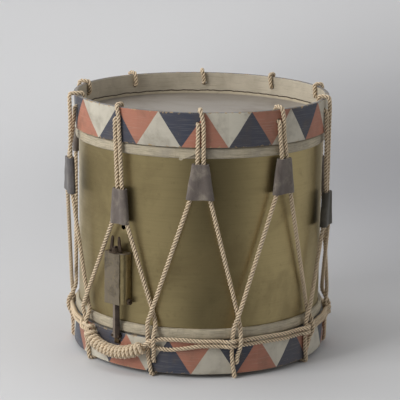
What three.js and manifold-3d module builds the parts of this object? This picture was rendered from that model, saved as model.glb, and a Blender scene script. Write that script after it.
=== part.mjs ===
import * as THREE from "three";
import { mergeVertices } from "three/addons/utils/BufferGeometryUtils.js";
import Module from "manifold-3d";

// A rope-tensioned field drum with a sheet brass shell, standing on its snare side.
// Millimetres, +Z up. The origin is on the floor under the drum's axis, and the front is at -Y.
// Angles are in degrees from the front, positive towards +X.

// Play between two pieces that touch.
const GAP = 0.3;
// How far a cutting tool runs past what it cuts.
const OVERRUN = 1;

// Shell
const SHELL_R = 190;
const SHELL_WALL = 1;
// Height of brass that shows between the two flesh hoops.
const SHELL_SHOWN = 257.4;
// How far in the bearing edges are turned.
const SHELL_LIP = 4;
const VENT_R = 4;
const VENT_TURN = -36.6;
const VENT_ABOVE_FLOOR = 220.3;

// Heads and flesh hoops
const SKIN = 0.7;
// From the counterhoop's edge at the flesh hoop out to the head.
const COLLAR_DEPTH = 15.8;
// Raw edge of the batter skin, as a part of the way from the head to the rope holes.
const RAW_EDGE_SHARE = 0.73;
const FLESH_WALL = 5.3;
const FLESH_HEIGHT = 17;
const FLESH_ROUND = 2.6;

// Counterhoops
const HOOP_WALL = 6.5;
const HOOP_HEIGHT = 51.8;
const HOOP_ROUND = 1.2;
// Play between a counterhoop and the skin inside it.
const HOOP_EASE = 0.4;

// Rope
const ROPE_D = 6.8;
// Centre to centre of the two strands at a fastening.
const STRAND_SPREAD = 8;
const FASTENINGS = 10;
// How far each lower fastening sits from midway between two upper ones, from the front round to the right.
const LOWER_SHIFTS = [-2.3, 1.5, -0.5, -2.3, -2.3, -2.3, -2.3, -2.3, -2.3, -2.3];
// The same for the upper fastenings, each over its tug.
const UPPER_SHIFTS = [0, 0, 0, 0, 0, 0, 0, 0, 0, -1.6];
// From a counterhoop's free edge to the centre of its rope holes, as a part of its height.
const HOLE_DROP_SHARE = 0.328;
const HOLE_EASE = 0.5;
// Radius of the rope's bend into a hole.
const HOLE_BEND = 4;
// The two legs of neighbouring bays cross this far above the snare flesh hoop.
const CROSSING_RISE = 19.5;
const CROSSING_SPREAD = 8.1;
// Where the right leg comes in to the flesh hoop, in rope diameters above its upper edge.
const CROSSING_FALL_SHARE = 1.2;
// Part of the rope's diameter that the floor presses flat.
const FLOOR_FLAT_SHARE = 0.1;

// Leather tugs
const TUG_LENGTH = 53;
const TUG_TOP_WIDTH = 25;
const TUG_LEATHER = 2.4;
// What follows is for each tug, from the front round to the right: its width at its lower edge, how far
// that edge is under the batter flesh hoop, how far the tug hangs to the right of its fastening, and how
// far out.
const TUG_BOTTOM_WIDTHS = [42, 37, 46, 44, 40, 44, 42, 44, 44, 34];
const TUG_DROPS = [58.5, 56.5, 127, 96, 71, 88, 112, 38, 78, 104.5];
const TUG_SIDEWAYS = [0, 4, 0, 0, 0, 0, 0, 0, 0, 5.6];
const TUG_STAND_OFFS = [0, 0, 2.5, 0, 0, 0, 0, 2.5, 8.5, 0];

// Surplus rope: two laps round the snare counterhoop, with the tail wound between two fastenings.
// Height of the upper lap over the counterhoop's upper edge, and the step down to the lower lap.
const LAP_RISE = 0;
const LAP_STEP = 7.8;
// Degrees either side of a fastening where a lap runs over the strands, and where it meets the hoop.
const LAP_OVER = 2.2;
const LAP_DOWN = 16.5;
// The lower fastening that the winding ends beside.
const WINDING_AT = 9;
const WINDING_TURNS = 13.25;
// Centre line of the turns from the centre of the strand inside them.
const WINDING_R = 7.3;
// Its ends from the counterhoop's upper edge down.
const WINDING_LEFT_DROP = 9.5;
const WINDING_RIGHT_DROP = 13;
const WINDING_SAG = 16;
const WINDING_LEFT_CLEAR = 3.1;
const WINDING_RIGHT_CLEAR = 3.3;

// Snare strainer
const STRAINER_TURN = -37.8;
const HOUSING_LEFT = 20;
const HOUSING_RIGHT = 20;
const HOUSING_DEPTH = 16.7;
const HOUSING_WALL = 1.2;
const HOUSING_LENGTH = 80;
const HOUSING_TOP = 183.5;
const HOUSING_SMALL_ROUND = 3;
const HOUSING_LARGE_ROUND = 8;
const HOUSING_TOP_PLATE = 1.6;
const SEAM_ACROSS = 10.5;
const SEAM_WIDTH = 1.6;
const SEAM_HEIGHT = 52;
const SPINDLE_R = 3;
const SPINDLE_EASE = 0.3;
const SPINDLE_LENGTH = 62;
const SPINDLE_TOP = 193;
const STRAP_THICK = 2.4;
const STRAP_TOP_WIDTH = 6;
const STRAP_FOOT_WIDTH = 11;
const FOOT_WIDTH = 16.5;
const FOOT_HEIGHT = 8;
const FOOT_THICK = 2;
const CLAMP_THICK = 1.2;
const CLAMP_SCREW_R = 1.2;
const CLAMP_SCREW_ACROSS = 6.1;
const CLAMP_SCREW_HEAD_R = 2;
const NUT_DISH_R = 10.5;
const NUT_DISH_HEIGHT = 2.5;
const NUT_HUB_R = 5.2;
const NUT_HUB_HEIGHT = 7;
const NUT_WING_ACROSS = 7.5;
const NUT_WING_WIDTH = 5;
const NUT_WING_THICK = 2.6;
const NUT_WING_HEIGHT = 24.5;
const SCREW_R = 2;
const SCREW_HEAD_R = 4;
const SCREW_HEAD_HEIGHT = 2;
const SCREW_NUT_HEIGHT = 3;
const SCREW_NUT_SIDES = 6;
// Mounting screws from each end of the housing.
const SCREW_INSET = 20;
const SIDE_SCREW_RISE = 5.5;
const SIDE_SCREW_OUT = 6;
const SIDE_SCREW_HEAD_R = 4.5;
const SIDE_SCREW_HEAD_LENGTH = 4.5;
const SIDE_SCREW_REACH = 7;

// Snares and their fixed end
const GUT_D = 1.6;
const GUT_COUNT = 4;
const GUT_PITCH = 2.2;
const GATE_WIDTH = 12;
const GATE_HEIGHT = 10.5;
// How far the gate's middle is above the snare head's outer face.
const GATE_RISE = 2.8;
const BUTT_WIDTH = 34;
const BUTT_HEIGHT = 13;
const BUTT_THICK = 2;
const BUTT_SCREW_ACROSS = 12;

// Fineness of the meshes
const RING_STEPS = 60;
const ROPE_SIDES = 6;
const GUT_SIDES = 5;
const BEND_STEPS = 2;
const TURN_STEPS = 13;
const HOLE_SIDES = 10;
const ROUND_SIDES = 20;
const CORNER_STEPS = 4;
const MERGE = 1e-3;

// What follows from the sizes above
const ROPE_R = ROPE_D / 2;
const GUT_R = GUT_D / 2;
const HEAD_RECESS = HOOP_HEIGHT - COLLAR_DEPTH;
const HOLE_DROP = HOOP_HEIGHT * HOLE_DROP_SHARE;
// The raw edge of the batter skin stands up inside the counterhoop.
const RAW_EDGE = (HEAD_RECESS - HOLE_DROP - ROPE_R - HOLE_EASE) * RAW_EDGE_SHARE;
// A ring of flat facets lies nearer the axis at their middles, by this share.
const FACET = Math.cos(Math.PI / RING_STEPS);
const FLOOR_FLAT = ROPE_D * FLOOR_FLAT_SHARE;
const HOOP_BASE = ROPE_D - FLOOR_FLAT + GAP;
const SNARE_HOOP_TOP = HOOP_BASE + HOOP_HEIGHT;
const SNARE_FLESH_TOP = SNARE_HOOP_TOP + GAP + FLESH_HEIGHT;
const BATTER_FLESH_BASE = SNARE_FLESH_TOP + SHELL_SHOWN;
const BATTER_FLESH_TOP = BATTER_FLESH_BASE + FLESH_HEIGHT;
const BATTER_HOOP_BASE = BATTER_FLESH_TOP + GAP;
const RIM_TOP = BATTER_HOOP_BASE + HOOP_HEIGHT;
const MIDDLE = (HOOP_BASE + RIM_TOP) / 2;
const BATTER_HEAD_TOP = RIM_TOP - HEAD_RECESS;
const SNARE_HEAD_FACE = HOOP_BASE + HEAD_RECESS;
const SHELL_TOP = BATTER_HEAD_TOP - SKIN - GAP;
const SHELL_BASE = SNARE_HEAD_FACE + SKIN + GAP;
const COLLAR_R = SHELL_R + GAP + SKIN;
const HOOP_INNER_R = COLLAR_R + HOOP_EASE;
const HOOP_OUTER_R = HOOP_INNER_R + HOOP_WALL;
const FLESH_INNER_R = SHELL_R + GAP;
const FLESH_OUTER_R = FLESH_INNER_R + FLESH_WALL;
// The corner of a counterhoop's inner face, and the rope's centre inside and outside it.
const INNER_CORNER = HOOP_INNER_R * FACET;
const ROPE_SEAT = GAP + ROPE_R;
const ROPE_INSIDE = INNER_CORNER - ROPE_SEAT;
const ROPE_OUTSIDE = HOOP_OUTER_R + ROPE_SEAT;
const HALF_SPREAD = STRAND_SPREAD / 2;
const SPACING = 360 / FASTENINGS;
const LOWER_HOLE = HOOP_BASE + HOLE_DROP;
const UPPER_HOLE = RIM_TOP - HOLE_DROP;
// A bay meets the loops under the counterhoop at this height.
const LOOP_END = LOWER_HOLE - HOLE_BEND - OVERRUN;
const LAP_OUT = ROPE_OUTSIDE + ROPE_D + GAP + ROPE_R * (1 - FACET);
const CROSSING = SNARE_FLESH_TOP + CROSSING_RISE;
const HOUSING_BACK = SHELL_R + GAP;
const HOUSING_FRONT = HOUSING_BACK + HOUSING_DEPTH;
const HOUSING_BASE = HOUSING_TOP - HOUSING_LENGTH;
const GUT_LEVEL = SNARE_HEAD_FACE - GAP - GUT_R;
const CLAMP_BACK = HOOP_OUTER_R + GAP;
const GUT_AT_CLAMP = CLAMP_BACK + CLAMP_THICK + GAP + GUT_R;
const GUT_AT_BUTT = HOOP_OUTER_R + GAP + GUT_R;
const STRAP_BACK = GUT_AT_CLAMP + GUT_R + GAP;
const SPINDLE_OUT = STRAP_BACK + STRAP_THICK / 2;

const wasm = await Module();
wasm.setup();
const drum = new THREE.Group();
drum.name = "field_drum";

// A point that is so far across and so far out from the axis, seen from outside at an angle.
function at(turn, across, out, height) {
  const angle = THREE.MathUtils.degToRad(turn);
  return new THREE.Vector3(
    across * Math.cos(angle) + out * Math.sin(angle),
    across * Math.sin(angle) - out * Math.cos(angle),
    height,
  );
}

// A line through chosen points, whose steps fall on them.
class Route extends THREE.Curve {
  constructor(points) {
    super();
    this.points = points;
    this.last = points.length - 1;
  }
  getPointAt(share, target = new THREE.Vector3()) {
    const index = Math.min(Math.floor(share * this.last), this.last - 1);
    return target.lerpVectors(this.points[index], this.points[index + 1], share * this.last - index);
  }
  getTangentAt(share, target = new THREE.Vector3()) {
    const index = Math.round(share * this.last);
    const here = this.points[index];
    const along = target.set(0, 0, 0);
    if (index > 0) along.add(here.clone().sub(this.points[index - 1]).normalize());
    if (index < this.last) along.add(this.points[index + 1].clone().sub(here).normalize());
    return along.normalize();
  }
}

// A round cord along a list of points.
function cord(points, radius, sides) {
  const section = new THREE.Shape();
  for (let side = 0; side < sides; side++) {
    const angle = (2 * Math.PI * side) / sides;
    const corner = [radius * Math.cos(angle), radius * Math.sin(angle)];
    if (side) section.lineTo(...corner);
    else section.moveTo(...corner);
  }
  return new THREE.ExtrudeGeometry(section, {
    steps: points.length - 1,
    extrudePath: new Route(points),
  });
}

// Part of a circle in the upright plane at an angle, with its sideways place running from one to another.
function bend(turn, across, centreOut, centreHeight, radius, from, to) {
  const points = [];
  for (let step = 0; step <= BEND_STEPS; step++) {
    const share = step / BEND_STEPS;
    const angle = THREE.MathUtils.degToRad(THREE.MathUtils.lerp(from, to, share));
    const sideways = THREE.MathUtils.lerp(across[0], across[1], share);
    const out = centreOut + radius * Math.cos(angle);
    points.push(at(turn, sideways, out, centreHeight + radius * Math.sin(angle)));
  }
  return points;
}

// A closed outline of radius and height, turned about the drum's axis.
function turned(outline) {
  const closed = outline[0][0] ? [...outline, outline[0]] : outline;
  const points = closed.map(([radius, height]) => new THREE.Vector2(radius, height));
  return new THREE.LatheGeometry(points, RING_STEPS).rotateX(Math.PI / 2);
}

function mirrored(outline) {
  return outline.map(([radius, height]) => [radius, 2 * MIDDLE - height]).reverse();
}

// An upright round bar with its foot at a height.
function bar(radius, height, base, sides = ROUND_SIDES) {
  return new THREE.CylinderGeometry(radius, radius, height, sides)
    .rotateX(Math.PI / 2)
    .translate(0, 0, base + height / 2);
}

// A round bar along the radius at the front, from one distance to another.
function radialBar(radius, across, inner, outer, height, sides = ROUND_SIDES) {
  return new THREE.CylinderGeometry(radius, radius, outer - inner, sides)
    .translate(across, -(inner + outer) / 2, height);
}

// A box at the front, from its sideways, outward and upward limits.
function block([left, right], [inner, outer], [base, top]) {
  return new THREE.BoxGeometry(right - left, outer - inner, top - base)
    .translate((left + right) / 2, -(inner + outer) / 2, (base + top) / 2);
}

function solidOf(geometry) {
  const bare = geometry.clone();
  bare.deleteAttribute("normal");
  bare.deleteAttribute("uv");
  const merged = mergeVertices(bare, MERGE);
  return new wasm.Manifold(
    new wasm.Mesh({
      numProp: 3,
      vertProperties: merged.attributes.position.array,
      triVerts: new Uint32Array(merged.index.array),
    }),
  );
}

function geometryOf(solid) {
  const { vertProperties, triVerts } = solid.getMesh();
  const indexed = new THREE.BufferGeometry();
  indexed.setAttribute("position", new THREE.BufferAttribute(vertProperties, 3));
  indexed.setIndex(new THREE.BufferAttribute(triVerts, 1));
  const loose = indexed.toNonIndexed();
  loose.computeVertexNormals();
  return loose;
}

function cut(body, ...tools) {
  return geometryOf(tools.reduce((left, tool) => left.subtract(solidOf(tool)), solidOf(body)));
}

function join(first, ...others) {
  return geometryOf(others.reduce((whole, other) => whole.add(solidOf(other)), solidOf(first)));
}

// The angle of a lower fastening. The first one is at the right of the front tug.
function fastening(count) {
  const shift = LOWER_SHIFTS[(count + FASTENINGS) % FASTENINGS];
  return (count + 0.5) * SPACING + shift;
}

// The angle of an upper fastening. The first one is at the front.
function upperFastening(count) {
  return count * SPACING + UPPER_SHIFTS[count];
}

function finish(color, roughness, metalness) {
  return () => new THREE.MeshStandardMaterial({ color, roughness, metalness });
}

const brass = finish(0x8c7a52, 0.45, 0.9);
const skin = finish(0x8d8474, 0.7, 0);
const lappedSkin = finish(0xa59b87, 0.75, 0);
const paintedWood = finish(0x9c6c5c, 0.6, 0);
const hemp = finish(0xc3af91, 0.9, 0);
const leather = finish(0x69625c, 0.8, 0);
const oldMetal = finish(0x7c705a, 0.5, 0.8);
const gut = finish(0xc9b98c, 0.5, 0);

function piece(name, geometry, material, turn = 0) {
  const mesh = new THREE.Mesh(geometry, material());
  mesh.name = name;
  mesh.rotation.z = THREE.MathUtils.degToRad(turn);
  drum.add(mesh);
}

// Where the strainer's mounting screws go through the shell.
const SCREW_HEIGHTS = {
  upper: HOUSING_TOP - SCREW_INSET,
  lower: HOUSING_BASE + SCREW_INSET,
};

function makeShell() {
  const inner = SHELL_R - SHELL_WALL;
  const lip = SHELL_R - SHELL_LIP;
  const body = turned([
    [SHELL_R, SHELL_BASE],
    [SHELL_R, SHELL_TOP],
    [lip, SHELL_TOP],
    [lip, SHELL_TOP - SHELL_WALL],
    [inner, SHELL_TOP - SHELL_WALL],
    [inner, SHELL_BASE + SHELL_WALL],
    [lip, SHELL_BASE + SHELL_WALL],
    [lip, SHELL_BASE],
  ]);
  const reach = [SHELL_R - SHELL_LIP, SHELL_R + OVERRUN];
  const vent = radialBar(VENT_R, 0, ...reach, VENT_ABOVE_FLOOR, HOLE_SIDES);
  vent.rotateZ(THREE.MathUtils.degToRad(VENT_TURN));
  const screwHoles = Object.values(SCREW_HEIGHTS).map((height) =>
    radialBar(SCREW_R + GAP, 0, ...reach, height, HOLE_SIDES).rotateZ(
      THREE.MathUtils.degToRad(STRAINER_TURN),
    ),
  );
  piece("shell", cut(body, vent, ...screwHoles), brass);
}

// A head's outline: a flat skin over the shell's edge, with a collar down to the flesh hoop.
function headOutline(rawEdge) {
  const under = BATTER_HEAD_TOP - SKIN;
  const collarFoot = BATTER_FLESH_TOP + GAP;
  const raised = [
    [COLLAR_R, BATTER_HEAD_TOP + rawEdge],
    [COLLAR_R - SKIN, BATTER_HEAD_TOP + rawEdge],
    [COLLAR_R - SKIN, BATTER_HEAD_TOP],
  ];
  return [
    [0, under],
    [SHELL_R + GAP, under],
    [SHELL_R + GAP, collarFoot],
    [COLLAR_R, collarFoot],
    ...(rawEdge ? raised : [[COLLAR_R, BATTER_HEAD_TOP]]),
    [0, BATTER_HEAD_TOP],
  ];
}

function ringOutline(inner, outer, base, top, round) {
  return [
    [inner, base],
    [outer - round, base],
    [outer, base + round],
    [outer, top - round],
    [outer - round, top],
    [inner, top],
  ];
}

function makeHeadsAndFleshHoops() {
  piece("batter_head", turned(headOutline(RAW_EDGE)), skin);
  piece("snare_head", turned(mirrored(headOutline(0))), skin);
  const flesh = ringOutline(
    FLESH_INNER_R,
    FLESH_OUTER_R,
    BATTER_FLESH_BASE,
    BATTER_FLESH_TOP,
    FLESH_ROUND,
  );
  piece("batter_flesh_hoop", turned(flesh), lappedSkin);
  piece("snare_flesh_hoop", turned(mirrored(flesh)), lappedSkin);
}

// The tools that drill a counterhoop's rope holes.
function ropeHoles(turns, across, height) {
  const reach = [HOOP_INNER_R - OVERRUN * 2, HOOP_OUTER_R + OVERRUN];
  return turns.map((turn) =>
    radialBar(ROPE_R + HOLE_EASE, across, ...reach, height, HOLE_SIDES).rotateZ(
      THREE.MathUtils.degToRad(turn),
    ),
  );
}

function makeCounterhoops() {
  const outline = ringOutline(HOOP_INNER_R, HOOP_OUTER_R, BATTER_HOOP_BASE, RIM_TOP, HOOP_ROUND);
  const counts = [...Array(FASTENINGS).keys()];
  const upperHoles = ropeHoles(counts.map(upperFastening), -HALF_SPREAD, UPPER_HOLE);
  piece("batter_counterhoop", cut(turned(outline), ...upperHoles), paintedWood);
  const lowerHoles = ropeHoles(counts.map(fastening), HALF_SPREAD, LOWER_HOLE);
  const gateMiddle = SNARE_HEAD_FACE + GATE_RISE;
  const gates = [STRAINER_TURN, STRAINER_TURN + 180].map((turn) =>
    block(
      [-GATE_WIDTH / 2, GATE_WIDTH / 2],
      [HOOP_INNER_R - OVERRUN * 2, HOOP_OUTER_R + OVERRUN],
      [gateMiddle - GATE_HEIGHT / 2, gateMiddle + GATE_HEIGHT / 2],
    ).rotateZ(THREE.MathUtils.degToRad(turn)),
  );
  const lower = cut(turned(mirrored(outline)), ...lowerHoles, ...gates);
  piece("snare_counterhoop", lower, paintedWood);
}

function roundEnded(path, halfWidth, halfThickness) {
  path.absarc(halfWidth - halfThickness, 0, halfThickness, -Math.PI / 2, Math.PI / 2, false);
  path.absarc(halfThickness - halfWidth, 0, halfThickness, Math.PI / 2, (3 * Math.PI) / 2, false);
  return path;
}

// A tug is a leather sleeve round two strands, wider at its lower edge.
function makeTug(number, count, base) {
  const inside = ROPE_R + GAP;
  const section = roundEnded(new THREE.Shape(), TUG_TOP_WIDTH / 2, inside + TUG_LEATHER);
  section.holes.push(roundEnded(new THREE.Path(), TUG_TOP_WIDTH / 2 - TUG_LEATHER, inside));
  const sleeve = new THREE.ExtrudeGeometry(section, {
    depth: TUG_LENGTH,
    bevelEnabled: false,
    curveSegments: CORNER_STEPS,
  });
  const spots = sleeve.attributes.position;
  const flare = (TUG_BOTTOM_WIDTHS[count] - TUG_TOP_WIDTH) / 2;
  for (let index = 0; index < spots.count; index++) {
    const across = spots.getX(index);
    const share = 1 - spots.getZ(index) / TUG_LENGTH;
    spots.setX(index, across + Math.sign(across) * flare * share);
  }
  sleeve.translate(TUG_SIDEWAYS[count], -(ROPE_OUTSIDE + TUG_STAND_OFFS[count]), base);
  piece(`leather_tug_${number}`, sleeve, leather, upperFastening(count));
}

// One bay of the tension rope: up from a lower fastening through the tug, in through the counterhoop's
// hole, over its rim, down through the tug and out to the next lower fastening.
function makeBay(number, count, tugBase) {
  const turn = upperFastening(count);
  const left = fastening(count - 1) - turn;
  const right = fastening(count) - turn;
  const tugTop = tugBase + TUG_LENGTH;
  const standOff = TUG_STAND_OFFS[count];
  const inTug = (across, height) =>
    at(0, TUG_SIDEWAYS[count] + across, ROPE_OUTSIDE + standOff, height);
  // Half the width between the two strands' centres at the tug's lower edge.
  const tugSpread = TUG_BOTTOM_WIDTHS[count] / 2 - TUG_LEATHER - GAP - ROPE_R;
  const upperSide = [-HALF_SPREAD, -HALF_SPREAD];
  const lowerSide = [HALF_SPREAD, HALF_SPREAD];
  const besideFlesh = SNARE_FLESH_TOP - FLESH_HEIGHT / 2;
  const overFlesh = SNARE_FLESH_TOP + ROPE_D * CROSSING_FALL_SHARE;
  const leftLeg = [
    at(left, -HALF_SPREAD, ROPE_OUTSIDE, LOOP_END),
    at(left, -HALF_SPREAD, ROPE_OUTSIDE, besideFlesh),
    at(left, -HALF_SPREAD, FLESH_OUTER_R + CROSSING_SPREAD, SNARE_FLESH_TOP + ROPE_D),
    at(left, 0, FLESH_OUTER_R + CROSSING_SPREAD, CROSSING),
    inTug(-tugSpread, tugBase - OVERRUN),
  ];
  const overRim = [
    inTug(-HALF_SPREAD, tugTop),
    ...bend(0, upperSide, HOOP_OUTER_R - GAP, UPPER_HOLE - HOLE_BEND, HOLE_BEND, 0, 90),
    ...bend(0, upperSide, ROPE_INSIDE + HOLE_BEND, UPPER_HOLE + HOLE_BEND, HOLE_BEND, -90, -180),
    ...bend(0, [-HALF_SPREAD / 2, -HALF_SPREAD / 4], INNER_CORNER, RIM_TOP, ROPE_SEAT, 180, 90),
    ...bend(0, [-HALF_SPREAD / 4, 0], HOOP_OUTER_R + standOff, RIM_TOP, ROPE_SEAT, 90, 0),
    at(0, HALF_SPREAD, ROPE_OUTSIDE + standOff, UPPER_HOLE + ROPE_R),
    inTug(HALF_SPREAD, tugTop),
  ];
  const rightLeg = [
    inTug(tugSpread, tugBase - OVERRUN),
    at(right, 0, FLESH_OUTER_R, CROSSING),
    at(right, HALF_SPREAD, FLESH_OUTER_R + GAP, overFlesh),
    at(right, HALF_SPREAD, FLESH_OUTER_R + ROPE_SEAT, SNARE_FLESH_TOP + ROPE_R),
    at(right, HALF_SPREAD, ROPE_OUTSIDE, besideFlesh),
    ...bend(right, lowerSide, HOOP_OUTER_R - GAP, LOWER_HOLE + HOLE_BEND, HOLE_BEND, 0, -90),
    ...bend(right, lowerSide, ROPE_INSIDE + HOLE_BEND, LOWER_HOLE - HOLE_BEND, HOLE_BEND, 90, 180),
    at(right, HALF_SPREAD, ROPE_INSIDE, LOOP_END),
  ];
  const route = [...leftLeg, ...overRim, ...rightLeg];
  piece(`tension_rope_bay_${number}`, cord(route, ROPE_R, ROPE_SIDES), hemp, turn);
}

// The rope's loop under the counterhoop's edge. The drum stands on these, so each is flat underneath.
function makeLoop(number, turn) {
  const end = LOOP_END - GAP;
  const route = [
    at(0, HALF_SPREAD, ROPE_INSIDE, end),
    at(0, HALF_SPREAD, ROPE_INSIDE, end - OVERRUN),
    ...bend(0, [HALF_SPREAD / 2, HALF_SPREAD / 4], INNER_CORNER, HOOP_BASE, ROPE_SEAT, -180, -90),
    ...bend(0, [-HALF_SPREAD / 4, -HALF_SPREAD / 2], HOOP_OUTER_R, HOOP_BASE, ROPE_SEAT, -90, 0),
    at(0, -HALF_SPREAD, ROPE_OUTSIDE, end - OVERRUN),
    at(0, -HALF_SPREAD, ROPE_OUTSIDE, end),
  ];
  const underFloor = block(
    [-ROPE_D * 2, ROPE_D * 2],
    [ROPE_INSIDE - ROPE_D, ROPE_OUTSIDE + ROPE_D],
    [-ROPE_D, 0],
  );
  const loop = cut(cord(route, ROPE_R, ROPE_SIDES), underFloor);
  piece(`tension_rope_loop_${number}`, loop, hemp, turn);
}

function makeTensionRope() {
  TUG_DROPS.forEach((drop, count) => {
    const number = String(count + 1).padStart(2, "0");
    const tugBase = BATTER_FLESH_BASE - drop;
    makeTug(number, count, tugBase);
    makeBay(number, count, tugBase);
    makeLoop(number, fastening(count));
  });
}

// The strand inside the winding, which sags between two fastenings.
const WINDING_RIGHT = fastening(WINDING_AT) - 360;
const WINDING_LEFT = fastening(WINDING_AT - 1) - 360;
const UPPER_LAP = SNARE_HOOP_TOP + LAP_RISE;
const LOWER_LAP = UPPER_LAP - LAP_STEP;

function windingAxis(share) {
  const from = WINDING_LEFT + WINDING_LEFT_CLEAR;
  const to = WINDING_RIGHT - WINDING_RIGHT_CLEAR;
  const turn = THREE.MathUtils.lerp(from, to, share);
  const drop = THREE.MathUtils.lerp(WINDING_LEFT_DROP, WINDING_RIGHT_DROP, share);
  const height = SNARE_HOOP_TOP - drop - WINDING_SAG * 4 * share * (1 - share);
  return { turn, point: at(turn, 0, LAP_OUT, height) };
}

// One lap round the counterhoop, over the strands at each fastening and down on the hoop between them.
function lap(height) {
  const points = [];
  for (let count = 1; count < FASTENINGS; count++) {
    const middle = fastening(WINDING_AT + count - FASTENINGS);
    points.push(at(middle - LAP_DOWN, 0, ROPE_OUTSIDE, height));
    points.push(at(middle - LAP_OVER, 0, LAP_OUT, height));
    points.push(at(middle + LAP_OVER, 0, LAP_OUT, height));
    if (count < FASTENINGS - 1) points.push(at(middle + LAP_DOWN, 0, ROPE_OUTSIDE, height));
  }
  return points;
}

function makeSurplusRope() {
  const start = WINDING_RIGHT + LAP_OVER;
  const lastOver = WINDING_LEFT + 360 + LAP_OVER;
  const coreShares = [0, 0.1, 0.25, 0.4, 0.5, 0.6, 0.75, 0.9, 1];
  const ring = [
    at(start + LAP_OVER / 3, 0, LAP_OUT, LOWER_LAP),
    at(WINDING_RIGHT + LAP_DOWN, 0, ROPE_OUTSIDE, LOWER_LAP),
    ...lap(LOWER_LAP).slice(0, -1),
    at(WINDING_LEFT, 0, LAP_OUT, LOWER_LAP),
    ...coreShares.map((share) => windingAxis(share).point),
    at(WINDING_RIGHT, 0, LAP_OUT, UPPER_LAP - WINDING_RIGHT_DROP / 2),
    at(start, 0, LAP_OUT, UPPER_LAP),
    at(WINDING_RIGHT + LAP_DOWN, 0, ROPE_OUTSIDE, UPPER_LAP),
    ...lap(UPPER_LAP).slice(0, -1),
    at(lastOver - 2 * LAP_OVER + LAP_OVER / 4, 0, LAP_OUT, UPPER_LAP),
  ];
  piece("surplus_rope_laps", cord(ring, ROPE_R, ROPE_SIDES), hemp);
}

// The tail, wound round the sagging strand as one unbroken tube from the upper lap's end.
function makeWinding() {
  const steps = Math.round(WINDING_TURNS * TURN_STEPS);
  const turns = [];
  for (let step = 0; step <= steps; step++) {
    const share = step / steps;
    const { turn, point } = windingAxis(share);
    const ahead = windingAxis(share + MERGE).point.sub(windingAxis(share - MERGE).point).normalize();
    const outward = at(turn, 0, 1, 0);
    const upward = outward.clone().cross(ahead);
    const angle = Math.PI / 2 - 2 * Math.PI * WINDING_TURNS * share;
    turns.push(
      point
        .addScaledVector(outward, WINDING_R * Math.cos(angle))
        .addScaledVector(upward, WINDING_R * Math.sin(angle)),
    );
  }
  const first = WINDING_LEFT + WINDING_LEFT_CLEAR;
  const leadIn = [
    at(first, -ROPE_D * 2, LAP_OUT, UPPER_LAP),
    at(first, -ROPE_D, LAP_OUT, UPPER_LAP),
    at(first, -ROPE_R, LAP_OUT, UPPER_LAP - ROPE_R / 2),
  ];
  const lastStep = turns.at(-1).clone().sub(turns.at(-2)).normalize();
  const tail = turns.at(-1).clone().addScaledVector(lastStep, ROPE_D);
  const route = [...leadIn, ...turns, tail];
  let nearest = Infinity;
  turns.forEach((point, index) => {
    for (let other = index + Math.round(TURN_STEPS / 2); other < turns.length; other++) {
      nearest = Math.min(nearest, point.distanceTo(turns[other]));
    }
  });
  console.log(`least gap of the winding to itself: ${(nearest - ROPE_D).toFixed(2)} mm`);
  piece("surplus_rope_winding", cord(route, ROPE_R, ROPE_SIDES), hemp);
}

// The housing's outline, with rounded front corners, drawn inset from its outer face.
function housingOutline(path, inset) {
  const left = -HOUSING_LEFT + inset;
  const right = HOUSING_RIGHT - inset;
  const back = -(HOUSING_BACK + inset);
  const front = -(HOUSING_FRONT - inset);
  const small = HOUSING_SMALL_ROUND - inset;
  const large = HOUSING_LARGE_ROUND - inset;
  path.moveTo(left, back);
  path.lineTo(left, front + small);
  path.absarc(left + small, front + small, small, Math.PI, (3 * Math.PI) / 2, false);
  path.lineTo(right - large, front);
  path.absarc(right - large, front + large, large, -Math.PI / 2, 0, false);
  path.lineTo(right, back);
  path.closePath();
  return path;
}

function makeHousing() {
  const section = housingOutline(new THREE.Shape(), 0);
  section.holes.push(housingOutline(new THREE.Path(), HOUSING_WALL));
  const options = { bevelEnabled: false, curveSegments: CORNER_STEPS };
  const sleeve = new THREE.ExtrudeGeometry(section, { depth: HOUSING_LENGTH, ...options });
  sleeve.translate(0, 0, HOUSING_BASE);
  const lid = new THREE.ExtrudeGeometry(housingOutline(new THREE.Shape(), 0), {
    depth: HOUSING_TOP_PLATE,
    ...options,
  });
  lid.translate(0, 0, HOUSING_TOP - HOUSING_TOP_PLATE);
  const spindleHole = bar(
    SPINDLE_R + SPINDLE_EASE,
    HOUSING_TOP_PLATE + 2 * OVERRUN,
    HOUSING_TOP - HOUSING_TOP_PLATE - OVERRUN,
  ).translate(0, -SPINDLE_OUT, 0);
  const seam = block(
    [SEAM_ACROSS - SEAM_WIDTH / 2, SEAM_ACROSS + SEAM_WIDTH / 2],
    [HOUSING_FRONT - HOUSING_LARGE_ROUND / 2, HOUSING_FRONT + OVERRUN],
    [HOUSING_BASE - OVERRUN, HOUSING_BASE + SEAM_HEIGHT],
  );
  const back = [HOUSING_BACK - OVERRUN, HOUSING_BACK + HOUSING_WALL + OVERRUN];
  const screwHoles = Object.values(SCREW_HEIGHTS).map((height) =>
    radialBar(SCREW_R + GAP, 0, ...back, height, HOLE_SIDES),
  );
  const sideHole = sideBar(
    SCREW_R + GAP,
    HOUSING_RIGHT - HOUSING_WALL - OVERRUN,
    HOUSING_RIGHT + OVERRUN,
  );
  const whole = join(sleeve, lid);
  piece(
    "strainer_housing",
    cut(whole, spindleHole, seam, sideHole, ...screwHoles),
    oldMetal,
    STRAINER_TURN,
  );
}

// A bar along the housing's width, at the place of its side screw.
function sideBar(radius, left, right) {
  return new THREE.CylinderGeometry(radius, radius, right - left, ROUND_SIDES / 2)
    .rotateZ(Math.PI / 2)
    .translate((left + right) / 2, -(HOUSING_BACK + SIDE_SCREW_OUT), HOUSING_BASE + SIDE_SCREW_RISE);
}

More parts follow.
